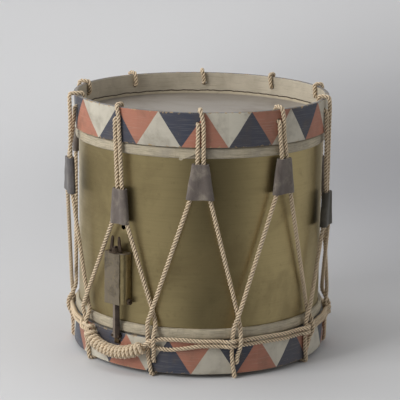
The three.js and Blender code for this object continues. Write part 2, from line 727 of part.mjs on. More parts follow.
function makeSideScrew() {
  const headFoot = HOUSING_RIGHT + GAP;
  const shank = sideBar(SCREW_R, HOUSING_RIGHT - SIDE_SCREW_REACH, headFoot + OVERRUN);
  const head = sideBar(SIDE_SCREW_HEAD_R, headFoot, headFoot + SIDE_SCREW_HEAD_LENGTH);
  piece("strainer_side_screw", join(shank, head), oldMetal, STRAINER_TURN);
}

// A screw from inside the shell through the housing's back, with its nut in the housing.
function makeMountingScrew(name, height) {
  const seat = (SHELL_R - SHELL_WALL) * FACET - GAP;
  const nutFoot = HOUSING_BACK + HOUSING_WALL + GAP;
  const nutFace = nutFoot + SCREW_NUT_HEIGHT;
  const shank = radialBar(SCREW_R, 0, seat - OVERRUN, nutFace, height, HOLE_SIDES);
  const head = radialBar(SCREW_HEAD_R, 0, seat - SCREW_HEAD_HEIGHT, seat, height, HOLE_SIDES);
  piece(`strainer_screw_${name}`, join(shank, head), oldMetal, STRAINER_TURN);
  const nut = radialBar(SCREW_HEAD_R, 0, nutFoot, nutFace, height, SCREW_NUT_SIDES);
  const through = [nutFoot - OVERRUN, nutFace + OVERRUN];
  const bore = radialBar(SCREW_R + GAP, 0, ...through, height, HOLE_SIDES);
  piece(`strainer_screw_nut_${name}`, cut(nut, bore), oldMetal, STRAINER_TURN);
}

// The wing nut: a round dish and hub with two upright wings, on the housing's top plate.
function makeWingNut() {
  const base = HOUSING_TOP + GAP;
  const dish = bar(NUT_DISH_R, NUT_DISH_HEIGHT, base);
  const hub = bar(NUT_HUB_R, NUT_HUB_HEIGHT, base);
  const wings = [-NUT_WING_ACROSS, NUT_WING_ACROSS].map((across) =>
    new THREE.BoxGeometry(NUT_WING_WIDTH, NUT_WING_THICK, NUT_WING_HEIGHT)
      .translate(across, 0, base + NUT_WING_HEIGHT / 2),
  );
  const bore = bar(SPINDLE_R + SPINDLE_EASE, NUT_WING_HEIGHT, base - OVERRUN);
  const nut = cut(join(dish, hub, ...wings), bore).translate(0, -SPINDLE_OUT, 0);
  piece("strainer_wing_nut", nut, oldMetal, STRAINER_TURN);
}

// The puller: a threaded spindle over a flat strap, whose foot and a clamp plate pinch the snares.
function makePuller() {
  const spindleFoot = SPINDLE_TOP - SPINDLE_LENGTH;
  const footTop = SNARE_HOOP_TOP - GAP;
  const footBase = footTop - FOOT_HEIGHT;
  const footMiddle = footTop - FOOT_HEIGHT / 2;
  const footFace = STRAP_BACK + FOOT_THICK;
  const strapTop = spindleFoot + SPINDLE_R * 2;
  const outline = new THREE.Shape();
  outline.moveTo(-STRAP_FOOT_WIDTH / 2, footTop - OVERRUN);
  outline.lineTo(STRAP_FOOT_WIDTH / 2, footTop - OVERRUN);
  outline.lineTo(STRAP_TOP_WIDTH / 2, strapTop);
  outline.lineTo(-STRAP_TOP_WIDTH / 2, strapTop);
  outline.closePath();
  const strap = new THREE.ExtrudeGeometry(outline, { depth: STRAP_THICK, bevelEnabled: false })
    .rotateX(Math.PI / 2)
    .translate(0, -STRAP_BACK, 0);
  const width = [-FOOT_WIDTH / 2, FOOT_WIDTH / 2];
  const foot = block(width, [STRAP_BACK, footFace], [footBase, footTop]);
  const spindle = bar(SPINDLE_R, SPINDLE_LENGTH, spindleFoot, ROUND_SIDES / 2);
  spindle.translate(0, -SPINDLE_OUT, 0);
  const places = { left: -CLAMP_SCREW_ACROSS, right: CLAMP_SCREW_ACROSS };
  const through = [CLAMP_BACK - OVERRUN, footFace + OVERRUN];
  const holes = Object.values(places).map((across) =>
    radialBar(CLAMP_SCREW_R + GAP, across, ...through, footMiddle, HOLE_SIDES),
  );
  const puller = cut(join(strap, foot, spindle), ...holes);
  piece("snare_puller", puller, oldMetal, STRAINER_TURN);
  const plate = block(width, [CLAMP_BACK, CLAMP_BACK + CLAMP_THICK], [footBase, footTop]);
  piece("snare_clamp_plate", cut(plate, ...holes), oldMetal, STRAINER_TURN);
  for (const [side, across] of Object.entries(places)) {
    const seat = footFace + GAP;
    const face = seat + FOOT_THICK / 2;
    const shank = radialBar(CLAMP_SCREW_R, across, CLAMP_BACK, seat + GAP, footMiddle, HOLE_SIDES);
    const head = radialBar(CLAMP_SCREW_HEAD_R, across, seat, face, footMiddle, HOLE_SIDES);
    piece(`snare_clamp_screw_${side}`, join(shank, head), oldMetal, STRAINER_TURN);
  }
}

// The snares: one length of gut, led to and fro across the snare head, pinched by the puller's foot
// at one end and by the butt plate at the other.
function makeSnares() {
  const clampTurn = SNARE_HOOP_TOP - GAP - GUT_D;
  const buttTurn = SNARE_HEAD_FACE - GATE_HEIGHT / 2 - BUTT_HEIGHT + GUT_D;
  const route = [];
  for (let count = 0; count < GUT_COUNT; count++) {
    const across = (count - (GUT_COUNT - 1) / 2) * GUT_PITCH;
    const strand = [
      [GUT_AT_CLAMP, clampTurn - GUT_D],
      [GUT_AT_CLAMP, GUT_LEVEL + GUT_D],
      [GUT_AT_CLAMP - GUT_D, GUT_LEVEL],
      [-(GUT_AT_BUTT - GUT_D), GUT_LEVEL],
      [-GUT_AT_BUTT, GUT_LEVEL - GUT_D],
      [-GUT_AT_BUTT, buttTurn + GUT_D],
    ];
    const atButt = count % 2 === 0;
    const ordered = atButt ? strand : strand.reverse();
    ordered.forEach(([out, height]) => route.push(at(0, across, out, height)));
    if (count === GUT_COUNT - 1) break;
    const out = atButt ? -GUT_AT_BUTT : GUT_AT_CLAMP;
    const height = atButt ? buttTurn : clampTurn;
    route.push(at(0, across + GUT_PITCH / 4, out, height));
    route.push(at(0, across + (GUT_PITCH * 3) / 4, out, height));
  }
  piece("snares", cord(route, GUT_R, GUT_SIDES), gut, STRAINER_TURN);
}

function makeButt() {
  const turn = STRAINER_TURN + 180;
  const inner = GUT_AT_BUTT + GUT_R + GAP;
  const outer = inner + BUTT_THICK;
  const top = SNARE_HEAD_FACE - GATE_HEIGHT / 2;
  const middle = top - BUTT_HEIGHT / 2;
  const plate = block([-BUTT_WIDTH / 2, BUTT_WIDTH / 2], [inner, outer], [top - BUTT_HEIGHT, top]);
  const places = { left: -BUTT_SCREW_ACROSS, right: BUTT_SCREW_ACROSS };
  const holes = Object.values(places).map((across) =>
    radialBar(SCREW_R + GAP, across, inner - OVERRUN, outer + OVERRUN, middle, HOLE_SIDES),
  );
  piece("snare_butt_plate", cut(plate, ...holes), oldMetal, turn);
  for (const [side, across] of Object.entries(places)) {
    const seat = outer + GAP;
    const face = seat + SCREW_HEAD_HEIGHT;
    const shank = radialBar(SCREW_R, across, HOOP_OUTER_R + GAP, seat + OVERRUN, middle, HOLE_SIDES);
    const head = radialBar(SCREW_HEAD_R, across, seat, face, middle, HOLE_SIDES);
    piece(`snare_butt_screw_${side}`, join(shank, head), oldMetal, turn);
  }
}

makeShell();
makeHeadsAndFleshHoops();
makeCounterhoops();
makeTensionRope();
makeSurplusRope();
makeWinding();
makeHousing();
makeSideScrew();
for (const [name, height] of Object.entries(SCREW_HEIGHTS)) makeMountingScrew(name, height);
makeWingNut();
makePuller();
makeSnares();
makeButt();

export default drum;
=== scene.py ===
import math
import random

import bmesh
import bpy
from mathutils import Matrix, Vector, noise


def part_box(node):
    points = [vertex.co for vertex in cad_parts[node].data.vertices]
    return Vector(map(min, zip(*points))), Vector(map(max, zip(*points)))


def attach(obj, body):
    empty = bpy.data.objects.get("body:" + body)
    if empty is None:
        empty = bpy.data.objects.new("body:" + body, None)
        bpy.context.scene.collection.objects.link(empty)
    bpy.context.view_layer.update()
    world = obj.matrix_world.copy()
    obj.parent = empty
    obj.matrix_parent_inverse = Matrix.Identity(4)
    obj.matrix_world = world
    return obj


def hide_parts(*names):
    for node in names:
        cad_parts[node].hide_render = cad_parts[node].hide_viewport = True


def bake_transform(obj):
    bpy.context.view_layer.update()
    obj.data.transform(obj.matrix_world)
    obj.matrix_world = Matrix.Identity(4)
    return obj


bl_info = {
    "name": "Field Drum Finish",
    "version": (1, 0, 0),
    "blender": (4, 5, 0),
    "location": "View3D > Sidebar > Drum",
    "description": "Dresses the packed field drum with brass, skin, painted wood, rope and leather",
    "category": "Add Mesh",
}

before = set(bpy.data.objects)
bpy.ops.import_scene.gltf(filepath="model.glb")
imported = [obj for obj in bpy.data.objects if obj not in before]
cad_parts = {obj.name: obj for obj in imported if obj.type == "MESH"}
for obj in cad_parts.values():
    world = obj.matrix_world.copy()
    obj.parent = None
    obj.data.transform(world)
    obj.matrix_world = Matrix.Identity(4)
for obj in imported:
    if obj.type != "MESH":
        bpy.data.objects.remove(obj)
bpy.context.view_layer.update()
ROOT = "drum"

# Angles are in degrees from the front, positive towards +X, and lengths are in metres. Each tuple
# has one value for each fastening or tug, as in the part's source.
FASTENINGS = 10
SPACING = 360 / FASTENINGS
LOWER_SHIFTS = (-2.3, 1.5, -0.5, -2.3, -2.3, -2.3, -2.3, -2.3, -2.3, -2.3)
UPPER_SHIFTS = (0, 0, 0, 0, 0, 0, 0, 0, 0, -1.6)
TUG_BOTTOMS = (0.042, 0.0385, 0.046, 0.044, 0.040, 0.044, 0.042, 0.044, 0.044, 0.034)
TUG_SIDEWAYS = (0, 0.0058, 0, 0, 0, 0, 0, 0, 0, 0.0056)
TUG_CORNERS = (0, 0, 0, 0, 0, 0, 0, 0, 0, 0.004)
TUG_STAND_OFFS = (0, 0, 0.0025, 0, 0, 0, 0, 0.0025, 0.0085, 0)
LEATHERS = {2: ("Dark Leather", "suede_dark"), 8: ("Grey Leather", "suede_grey")}
# Where the legs over each lower fastening cross: how far to its right, and above the flesh hoop.
LEANS = (0.005, 0.0055, 0, 0, 0, 0, 0, 0, -0.012, 0)
CROSSINGS = (0.0195, 0.0125, 0.0195, 0.0195, 0.0195, 0.0195, 0.0195, 0.0195, 0.0105, 0.0205)
# How far the two strands of a lower fastening lie either side of it.
STRAND_ASIDE = 0.0058
GAP = 0.0003
STRAINER_TURN = -37.8
BUTT_TURN = STRAINER_TURN + 180
VENT_TURN = -36.6
VENT_HEIGHT = 0.2203
# The spindle's axis outside the counterhoop, and the plate of the housing's lid.
SPINDLE_OUT = 0.0049
LID = 0.0016
SPINDLE_LENGTH = 0.062
GUT_PITCH = 0.0022


def low(node):
    return Vector(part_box(node)[0])


def high(node):
    return Vector(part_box(node)[1])


def span(node):
    """The heights of a node's lowest and highest points."""
    return low(node).z, high(node).z


def srgb(red, green, blue):
    """A colour as a picture editor shows it, turned into Blender's linear numbers."""

    def linear(level):
        level /= 255
        return level / 12.92 if level <= 0.04045 else ((level + 0.055) / 1.055) ** 2.4

    return (linear(red), linear(green), linear(blue), 1.0)


def length(name, description, default):
    return bpy.props.FloatProperty(
        name=name, description=description, default=default, unit="LENGTH", subtype="DISTANCE"
    )


def colour(name, description, *levels):
    how = {"subtype": "COLOR", "size": 4, "min": 0.0, "max": 1.0}
    return bpy.props.FloatVectorProperty(
        name=name, description=description, default=srgb(*levels), **how
    )


class DrumSizes(bpy.types.PropertyGroup):
    """Sizes of the drum that the pieces are built from"""

    shell_radius: length("Shell radius", "Outer radius of the brass shell", high("shell").x)
    shell_wall: length("Shell wall", "Thickness of the sheet brass", 0.001)
    shell_lip: length("Bearing edge", "How far each bearing edge is turned in", 0.004)
    skin: length("Skin", "Thickness of the skins", 0.0007)
    skin_radius: length("Skin collar radius", "Outer radius of the skin's collar", high("batter_head").x)
    flesh_radius: length(
        "Flesh hoop radius", "Outer radius of both flesh hoops", high("batter_flesh_hoop").x
    )
    hoop_radius: length(
        "Counterhoop radius", "Outer radius of both counterhoops", high("batter_counterhoop").x
    )
    hoop_wall: length("Counterhoop wall", "Thickness of the counterhoops", 0.0065)
    head_recess: length("Head recess", "Depth of each head inside its counterhoop", 0.036)
    rope: length("Rope diameter", "Diameter of the three-strand rope", 0.0068)
    rope_lay: length("Rope lay", "Length in which a strand goes once round the rope", 0.0162)
    strand_spread: length("Strand spread", "Between the two strands at an upper fastening", 0.008)
    hole_drop: length("Hole drop", "From a counterhoop's edge to its rope holes", 0.017)
    tug_top: length("Tug top width", "Width of a tug at its upper edge", 0.025)
    tug_leather: length("Tug leather", "Thickness of the tugs' leather", 0.0024)
    gut: length("Gut diameter", "Diameter of the snares", 0.0016)


class DrumColours(bpy.types.PropertyGroup):
    """Colours of the drum's finishes"""

    brass: colour("Brass", "Clean worn brass of the shell", 188, 170, 124)
    tarnish: colour("Tarnish", "Dull patches on the brass", 130, 114, 78)
    fitting: colour("Fitting brass", "Grey tarnished brass of the strainer's housing", 152, 140, 122)
    iron: colour("Old iron", "Dark metal of the wing nut and the puller", 92, 78, 66)
    skin: colour("Skin", "Raw skin of the heads", 141, 134, 125)
    skin_stain: colour("Skin stain", "Stains in the skin", 120, 110, 98)
    lap: colour("Lapped skin", "Skin round the flesh hoops", 188, 176, 152)
    red: colour("Red paint", "Red triangles", 174, 116, 95)
    white: colour("White paint", "White triangles", 202, 196, 180)
    blue: colour("Blue paint", "Blue triangles", 64, 68, 82)
    edge_paint: colour("Edge paint", "Slate paint on the counterhoops' edges", 112, 112, 112)
    wood: colour("Bare wood", "Wood where the paint is worn away", 170, 146, 112)
    rope: colour("Rope", "Fibre on top of the strands", 224, 204, 174)
    # The rope's shade colour is both the darker fibres and the painted shade between the strands.
    rope_dark: colour("Rope shade", "Fibre between the strands", 84, 62, 40)
    suede: colour("Tug leather", "Buff leather of the tugs", 104, 95, 89)
    suede_dark: colour("Dark leather", "Olive leather of the right-hand tug", 66, 62, 52)
    suede_grey: colour("Grey leather", "Grey leather of the left-hand tug", 98, 95, 95)
    suede_light: colour("Worn leather", "Rubbed patches on the tugs", 168, 158, 142)
    gut: colour("Gut", "Aged gut of the snares", 100, 82, 56)
    floor: colour("Floor", "Floor and backdrop", 206, 206, 207)


def sizes():
    return bpy.context.scene.drum_sizes


def tones():
    return bpy.context.scene.drum_colours


# Shared geometry


def at(turn, across, out, height):
    """A point that is so far across and out from the axis, seen from outside at an angle."""
    angle = math.radians(turn)
    side, ahead = math.cos(angle), math.sin(angle)
    return Vector((across * side + out * ahead, across * ahead - out * side, height))


def fastening(count):
    """The angle of a lower fastening. The first one is at the right of the front tug."""
    return (count + 0.5) * SPACING + LOWER_SHIFTS[count % FASTENINGS]


def above(count):
    """The angle of an upper fastening, over its tug. The first one is at the front."""
    return count * SPACING + UPPER_SHIFTS[count]


def mesh_of(name, bm):
    mesh = bpy.data.meshes.new(name)
    bm.to_mesh(mesh)
    bm.free()
    return mesh


def smoothed(mesh, crease):
    mesh.shade_smooth()
    mesh.set_sharp_from_angle(angle=math.radians(crease))


def linked(name, data):
    thing = bpy.data.objects.new(name, data)
    bpy.context.scene.collection.objects.link(thing)
    return thing


def evaluated(thing):
    """The mesh that an object's modifiers or curve settings make of it."""
    bpy.context.view_layer.update()
    graph = bpy.context.evaluated_depsgraph_get()
    return bpy.data.meshes.new_from_object(thing.evaluated_get(graph), depsgraph=graph)


def settle(name, bm, material, body, nodes, slot, crease=35):
    """Makes a bmesh into a smooth piece that rides on a body and stands for its CAD nodes."""
    mesh = mesh_of(name, bm)
    smoothed(mesh, crease)
    mesh.materials.append(material)
    piece = linked(name, mesh)
    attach(piece, body)
    if nodes:
        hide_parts(*nodes)
    return piece


def moved(bm, way):
    bmesh.ops.translate(bm, verts=bm.verts, vec=way)
    return bm


def swung(bm, turn, axis="Z"):
    """A form turned about an axis of the frame."""
    matrix = Matrix.Rotation(math.radians(turn), 3, axis)
    bmesh.ops.rotate(bm, verts=bm.verts, cent=(0, 0, 0), matrix=matrix)
    return bm


def extruded(bm, edges, way):
    """Draws edges along a way. Gives the new edges."""
    made = bmesh.ops.extrude_edge_only(bm, edges=edges)["geom"]
    fresh = [g for g in made if isinstance(g, bmesh.types.BMVert)]
    bmesh.ops.translate(bm, verts=fresh, vec=way)
    return [g for g in made if isinstance(g, bmesh.types.BMEdge)]


def turned(outline, steps=180):
    """A closed outline of radius and height, spun about the drum's axis."""
    bm = bmesh.new()
    rim = [bm.verts.new((radius, 0, height)) for radius, height in outline]
    geom = rim + [bm.edges.new((rim[i - 1], rim[i])) for i in range(len(rim))]
    whole = {"axis": (0, 0, 1), "angle": 2 * math.pi, "use_merge": True}
    bmesh.ops.spin(bm, geom=geom, cent=(0, 0, 0), steps=steps, **whole)
    bmesh.ops.remove_doubles(bm, verts=bm.verts, dist=1e-6)
    bmesh.ops.recalc_face_normals(bm, faces=bm.faces)
    return bm


def oblong(inner, outer, base, top):
    """The corners of a rectangle, from two radii or places across and two heights."""
    return [(inner, base), (outer, base), (outer, top), (inner, top)]


def rounded(corners, radii, steps=4):
    """An outline whose corners are rounded, each by its own radius."""
    points = []
    for index, (corner, radius) in enumerate(zip(corners, radii)):
        here = Vector(corner)
        if radius <= 0:
            points.append(tuple(here))
            continue
        before = (Vector(corners[index - 1]) - here).normalized() * radius
        after = (Vector(corners[(index + 1) % len(corners)]) - here).normalized() * radius
        for step in range(steps + 1):
            share = step / steps
            first = here + before * (1 - share)
            points.append(tuple(first.lerp(here + after * share, share)))
    return points


def joined(*parts):
    """Several closed forms in one bmesh."""
    whole = bmesh.new()
    for part in parts:
        spare = mesh_of("part", part)
        whole.from_mesh(spare)
        bpy.data.meshes.remove(spare)
    return whole


def bored(piece, cutters):
    """Takes the cutters out of a piece and removes them."""
    tool = joined(*cutters)
    bmesh.ops.recalc_face_normals(tool, faces=tool.faces)
    holder = linked("cutters", mesh_of("cutters", tool))
    modifier = piece.modifiers.new("Bores", "BOOLEAN")
    modifier.operation = "DIFFERENCE"
    modifier.solver = "EXACT"
    modifier.object = holder
    cut = evaluated(piece)
    piece.modifiers.clear()
    spare = (piece.data, holder.data)
    piece.data = cut
    cut.name = piece.name
    smoothed(cut, 35)
    bpy.data.objects.remove(holder)
    for mesh in spare:
        bpy.data.meshes.remove(mesh)


def bar(radius, depth, sides, tilt=0):
    """An upright round bar at the origin, tilted about X."""
    bm = bmesh.new()
    way = Matrix.Rotation(math.radians(tilt), 4, "X")
    ends = {"radius1": radius, "radius2": radius, "cap_ends": True}
    bmesh.ops.create_cone(bm, segments=sides, depth=depth, matrix=way, **ends)
    return bm


def radial_bar(turn, across, inner, outer, height, radius):
    """A round bar along the radius at an angle."""
    form = bar(radius, outer - inner, 24, 90)
    return swung(moved(form, (across, -(inner + outer) / 2, height)), turn)


def cube(spans, middle):
    """A box with its middle at a place."""
    bm = bmesh.new()
    bmesh.ops.create_cube(bm, size=1)
    bmesh.ops.scale(bm, verts=bm.verts, vec=spans)
    return moved(bm, middle)


def drawn(places, way):
    """A flat face through some places, drawn along a way into a solid."""
    bm = bmesh.new()
    face = bm.faces.new([bm.verts.new(place) for place in places])
    made = bmesh.ops.extrude_face_region(bm, geom=[face])["geom"]
    fresh = [g for g in made if isinstance(g, bmesh.types.BMVert)]
    bmesh.ops.translate(bm, verts=fresh, vec=way)
    bmesh.ops.recalc_face_normals(bm, faces=bm.faces)
    return bm


def upright(outline, base, rise):
    """A solid at the strainer, from an outline across and out that is drawn upwards."""
    return drawn([at(STRAINER_TURN, *spot, base) for spot in outline], (0, 0, rise))


def ringed(bm, cuts):
    """Cuts a form's long upright edges into shorter ones."""
    edges = [e for e in bm.edges if abs(e.verts[0].co.z - e.verts[1].co.z) > 0.01]
    bmesh.ops.subdivide_edges(bm, edges=edges, cuts=cuts, use_grid_fill=True)


def softened(bm, width, segments=3, angle=30):
    """Rounds the edges of a form that are sharper than an angle."""
    sharp = math.radians(angle)
    edges = [e for e in bm.edges if len(e.link_faces) == 2 and e.calc_face_angle(0) > sharp]
    how = {"profile": 0.5, "affect": "EDGES", "material": -1, "clamp_overlap": True}
    bmesh.ops.bevel(bm, geom=edges, offset=width, segments=segments, **how)
    return bm


def screw(turn, across, seat, height, radius, thickness, shank, tip, sideways=False):
    """A slotted screw whose head faces outwards, or to the right, from its seat."""
    head = [(0.0004, 0), (radius, 0), (radius, thickness * 0.6), (radius * 0.86, thickness * 0.92)]
    head += [(radius * 0.45, thickness), (0.0004, thickness)]
    inner = shank * 0.8
    thread = []
    pitch = 0.0007
    place = -0.0001
    while place > tip:
        thread += [(shank, place), (inner, place - pitch / 2)]
        place -= pitch
    thread = [(0.0001, 0.0002), (shank, 0.0002), *thread, (inner, tip), (0.0001, tip)]
    bm = joined(turned(head, 32), turned(thread, 16))
    for vertex in bm.verts:
        # The slot.
        spot = vertex.co
        if spot.z > thickness * 0.9 and abs(spot.x) < radius * 0.2:
            spot.z -= thickness * 0.3
    place = (seat, -across, height) if sideways else (across, -seat, height)
    return swung(moved(swung(bm, 90, "Y" if sideways else "X"), place), turn)


# Rope


def eased(points, reach):
    """A route whose corners are rounded off, each over a reach either side."""
    route = [points[0]]
    for before, here, after in zip(points, points[1:], points[2:]):
        back = min(reach, (before - here).length / 2)
        ahead = min(reach, (after - here).length / 2)
        first = here + (before - here).normalized() * back
        last = here + (after - here).normalized() * ahead
        for share in (0, 0.25, 0.5, 0.75, 1):
            route.append(first.lerp(here, share).lerp(here.lerp(last, share), share))
    return [*route, points[-1]]


def evenly(points, spacing):
    """A route with its points at even steps, and its length."""
    marks = [0.0]
    for before, here in zip(points, points[1:]):
        marks.append(marks[-1] + (here - before).length)
    count = max(2, round(marks[-1] / spacing))
    route = []
    index = 0
    for step in range(count + 1):
        place = marks[-1] * step / count
        while index < len(marks) - 2 and marks[index + 1] < place:
            index += 1
        stride = marks[index + 1] - marks[index]
        share = (place - marks[index]) / stride if stride > 1e-9 else 0
        route.append(points[index].lerp(points[index + 1], share))
    return route, marks[-1]


def bend(turn, across, out, height, radius, start, end, steps=5):
    """Part of a circle in the upright plane at an angle, moving sideways between two places."""
    points = []
    for step in range(steps + 1):
        share = step / steps
        angle = math.radians(start + (end - start) * share)
        sideways = across[0] + (across[1] - across[0]) * share
        spot = (out + radius * math.cos(angle), height + radius * math.sin(angle))
        points.append(at(turn, sideways, *spot))
    return points


def section(name, radius, lobes, count, least):
    """A cord's section: one bulge for each strand, with grooves down to a part of the radius."""
    curve = bpy.data.curves.new(name, "CURVE")
    curve.dimensions = "2D"
    spline = curve.splines.new("POLY")
    spline.use_cyclic_u = True
    spline.points.add(count - 1)
    half = math.pi / max(lobes, 1)
    strand = radius * math.sin(half) / (1 + math.sin(half)) if lobes else radius
    centre = radius - strand
    for index in range(count):
        angle = 2 * math.pi * index / count
        off = (angle + half) % (2 * half) - half
        reach = math.sqrt(max(strand**2 - (centre * math.sin(off)) ** 2, 0))
        reach = max(centre * math.cos(off) + reach, radius * least)
        spline.points[index].co = (reach * math.cos(angle), reach * math.sin(angle), 0, 1)
    return linked(name, curve)


def cord(name, routes, material, radius, nodes, slot, lay=0.0, spacing=0.0013, least=0.7):
    """A laid cord along some routes, as one mesh. Its UV map holds turns round and metres along."""
    profile = section(name + "_section", radius, 3 if lay else 0, 24 if lay else 8, least)
    whole = bmesh.new()
    for route in routes:
        points, total = evenly(route, spacing)
        curve = bpy.data.curves.new(name, "CURVE")
        curve.dimensions = "3D"
        curve.bevel_mode = "OBJECT"
        curve.bevel_object = profile
        curve.use_fill_caps = True
        curve.twist_mode = "MINIMUM"
        spline = curve.splines.new("POLY")
        spline.points.add(len(points) - 1)
        # A whole number of thirds of a turn, so that two lengths that meet can match.
        turns = round(total / lay * 3) / 3 if lay else 0
        for index, point in enumerate(points):
            spline.points[index].co = (*point, 1)
            spline.points[index].tilt = 2 * math.pi * turns * (index / (len(points) - 1) - 0.5)
        mesh = evaluated(linked(name, curve))
        for corner in mesh.uv_layers[0].data:
            corner.uv = (corner.uv[1], corner.uv[0] * total)
        whole.from_mesh(mesh)
        # Removing a curve removes the object that holds it.
        bpy.data.curves.remove(curve)
        bpy.data.meshes.remove(mesh)
    bpy.data.curves.remove(profile.data)
    bmesh.ops.recalc_face_normals(whole, faces=whole.faces)
    # What the drum stands on is pressed flat.
    for vertex in whole.verts:
        vertex.co.z = max(vertex.co.z, 0)
    mesh = mesh_of(name, whole)
    smoothed(mesh, 60)
    mesh.materials.append(material)
    piece = linked(name, mesh)
    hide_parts(*nodes)
    return piece


# Nodes


def feed(sockets, values):
    """Links sockets to others or sets them to values, by name or number."""
    for key, value in values.items():
        if isinstance(value, bpy.types.NodeSocket):
            value.id_data.links.new(value, sockets[key])
        else:
            sockets[key].default_value = value


def put(kind, inputs, tree=None, **settings):
    """The outputs of a new node with its settings, in the tree that its inputs come from."""
    if tree is None:
        tree = next(v for v in inputs.values() if isinstance(v, bpy.types.NodeSocket)).id_data
    node = tree.nodes.new("ShaderNode" + kind)
    for name, value in settings.items():
        setattr(node, name, value)
    feed(node.inputs, inputs)
    return node.outputs


def maths(operation, *values, clamp=False):
    return put("Math", dict(enumerate(values)), operation=operation, use_clamp=clamp)[0]


def times(first, second):
    return maths("MULTIPLY", first, second)


def plus(first, second):
    return maths("ADD", first, second)


def less(first, second):
    return maths("SUBTRACT", first, second)


def line(value, by, more):
    """A value times another, plus a third."""
    return maths("MULTIPLY_ADD", value, by, more)


def parts(vector):
    return put("SeparateXYZ", {0: vector})


def vector_of(*values):
    return put("CombineXYZ", dict(enumerate(values)))[0]


def turning(place):
    """The angle round the drum in radians, from a place's parts."""
    return maths("ARCTAN2", place[0], times(place[1], -1.0))


def mix(share, first, second, kind="MIX"):
    """Two colours mixed by a share."""
    return put("Mix", {0: share, 6: first, 7: second}, data_type="RGBA", blend_type=kind)[2]


def stretch(value, start, end, most=1.0):
    """A value's rise from 0 at one place to the most at another, eased."""
    spans = {0: value, 1: start, 2: end, 3: 0.0, 4: most}
    return put("MapRange", spans, interpolation_type="SMOOTHSTEP", clamp=True)[0]


def layered(shade, *layers):
    """A colour with others over it, each where a value lies in a span and up to an amount."""
    for value, start, end, most, other in layers:
        shade = mix(stretch(value, start, end, most), shade, other)
    return shade


def grain(vector, scale, detail=3.0, roughness=0.55, distortion=0.0):
    """A noise value."""
    look = {"Detail": detail, "Roughness": roughness, "Distortion": distortion}
    return put("TexNoise", {"Vector": vector, "Scale": scale, **look})[0]


def scaled(vector, *scale):
    """A coordinate stretched along its axes."""
    return put("Mapping", {"Vector": vector, "Scale": scale})[0]


def shared(name, build, values):
    """The outputs of a node group with named inputs, which is made on its first use."""
    tree = bpy.data.node_groups.get(name)
    if not tree:
        tree = bpy.data.node_groups.new(name, "ShaderNodeTree")
        kinds = [("OUTPUT", "Colour", "Color")]
        kinds += [("OUTPUT", "Roughness", "Float"), ("OUTPUT", "Height", "Float")]
        for label, value in values.items():
            linkable = isinstance(value, bpy.types.NodeSocket)
            kind = "Vector" if linkable else "Float" if isinstance(value, float) else "Color"
            kinds.append(("INPUT", label, kind))
        for side, label, kind in kinds:
            tree.interface.new_socket(label, in_out=side, socket_type="NodeSocket" + kind)
        given = tree.nodes.new("NodeGroupInput").outputs
        results = dict(zip(("Colour", "Roughness", "Height"), build(given)))
        feed(tree.nodes.new("NodeGroupOutput").inputs, results)
    start = next(v for v in values.values() if isinstance(v, bpy.types.NodeSocket))
    node = start.id_data.nodes.new("ShaderNodeGroup")
    node.node_tree = tree
    feed(node.inputs, values)
    return node.outputs


def wear_group(given):
    """Grime in a surface's low places and rubbed patches on it."""
    broad = grain(given["Vector"], given["Scale"], 4, 0.6, 0.4)
    small = grain(given["Vector"], times(given["Scale"], 7.0), 3, 0.6)
    dirt = times(stretch(broad, 0.48, 0.72), given["Grime Amount"])
    worn = times(stretch(small, 0.5, 0.75), given["Rubbed Amount"])
    shade = mix(worn, mix(dirt, given["Colour"], given["Grime"]), given["Rubbed"])
    rough = plus(line(small, 0.25, 0.45), times(dirt, 0.3))
    return shade, rough, line(small, 0.6, times(broad, 0.4))


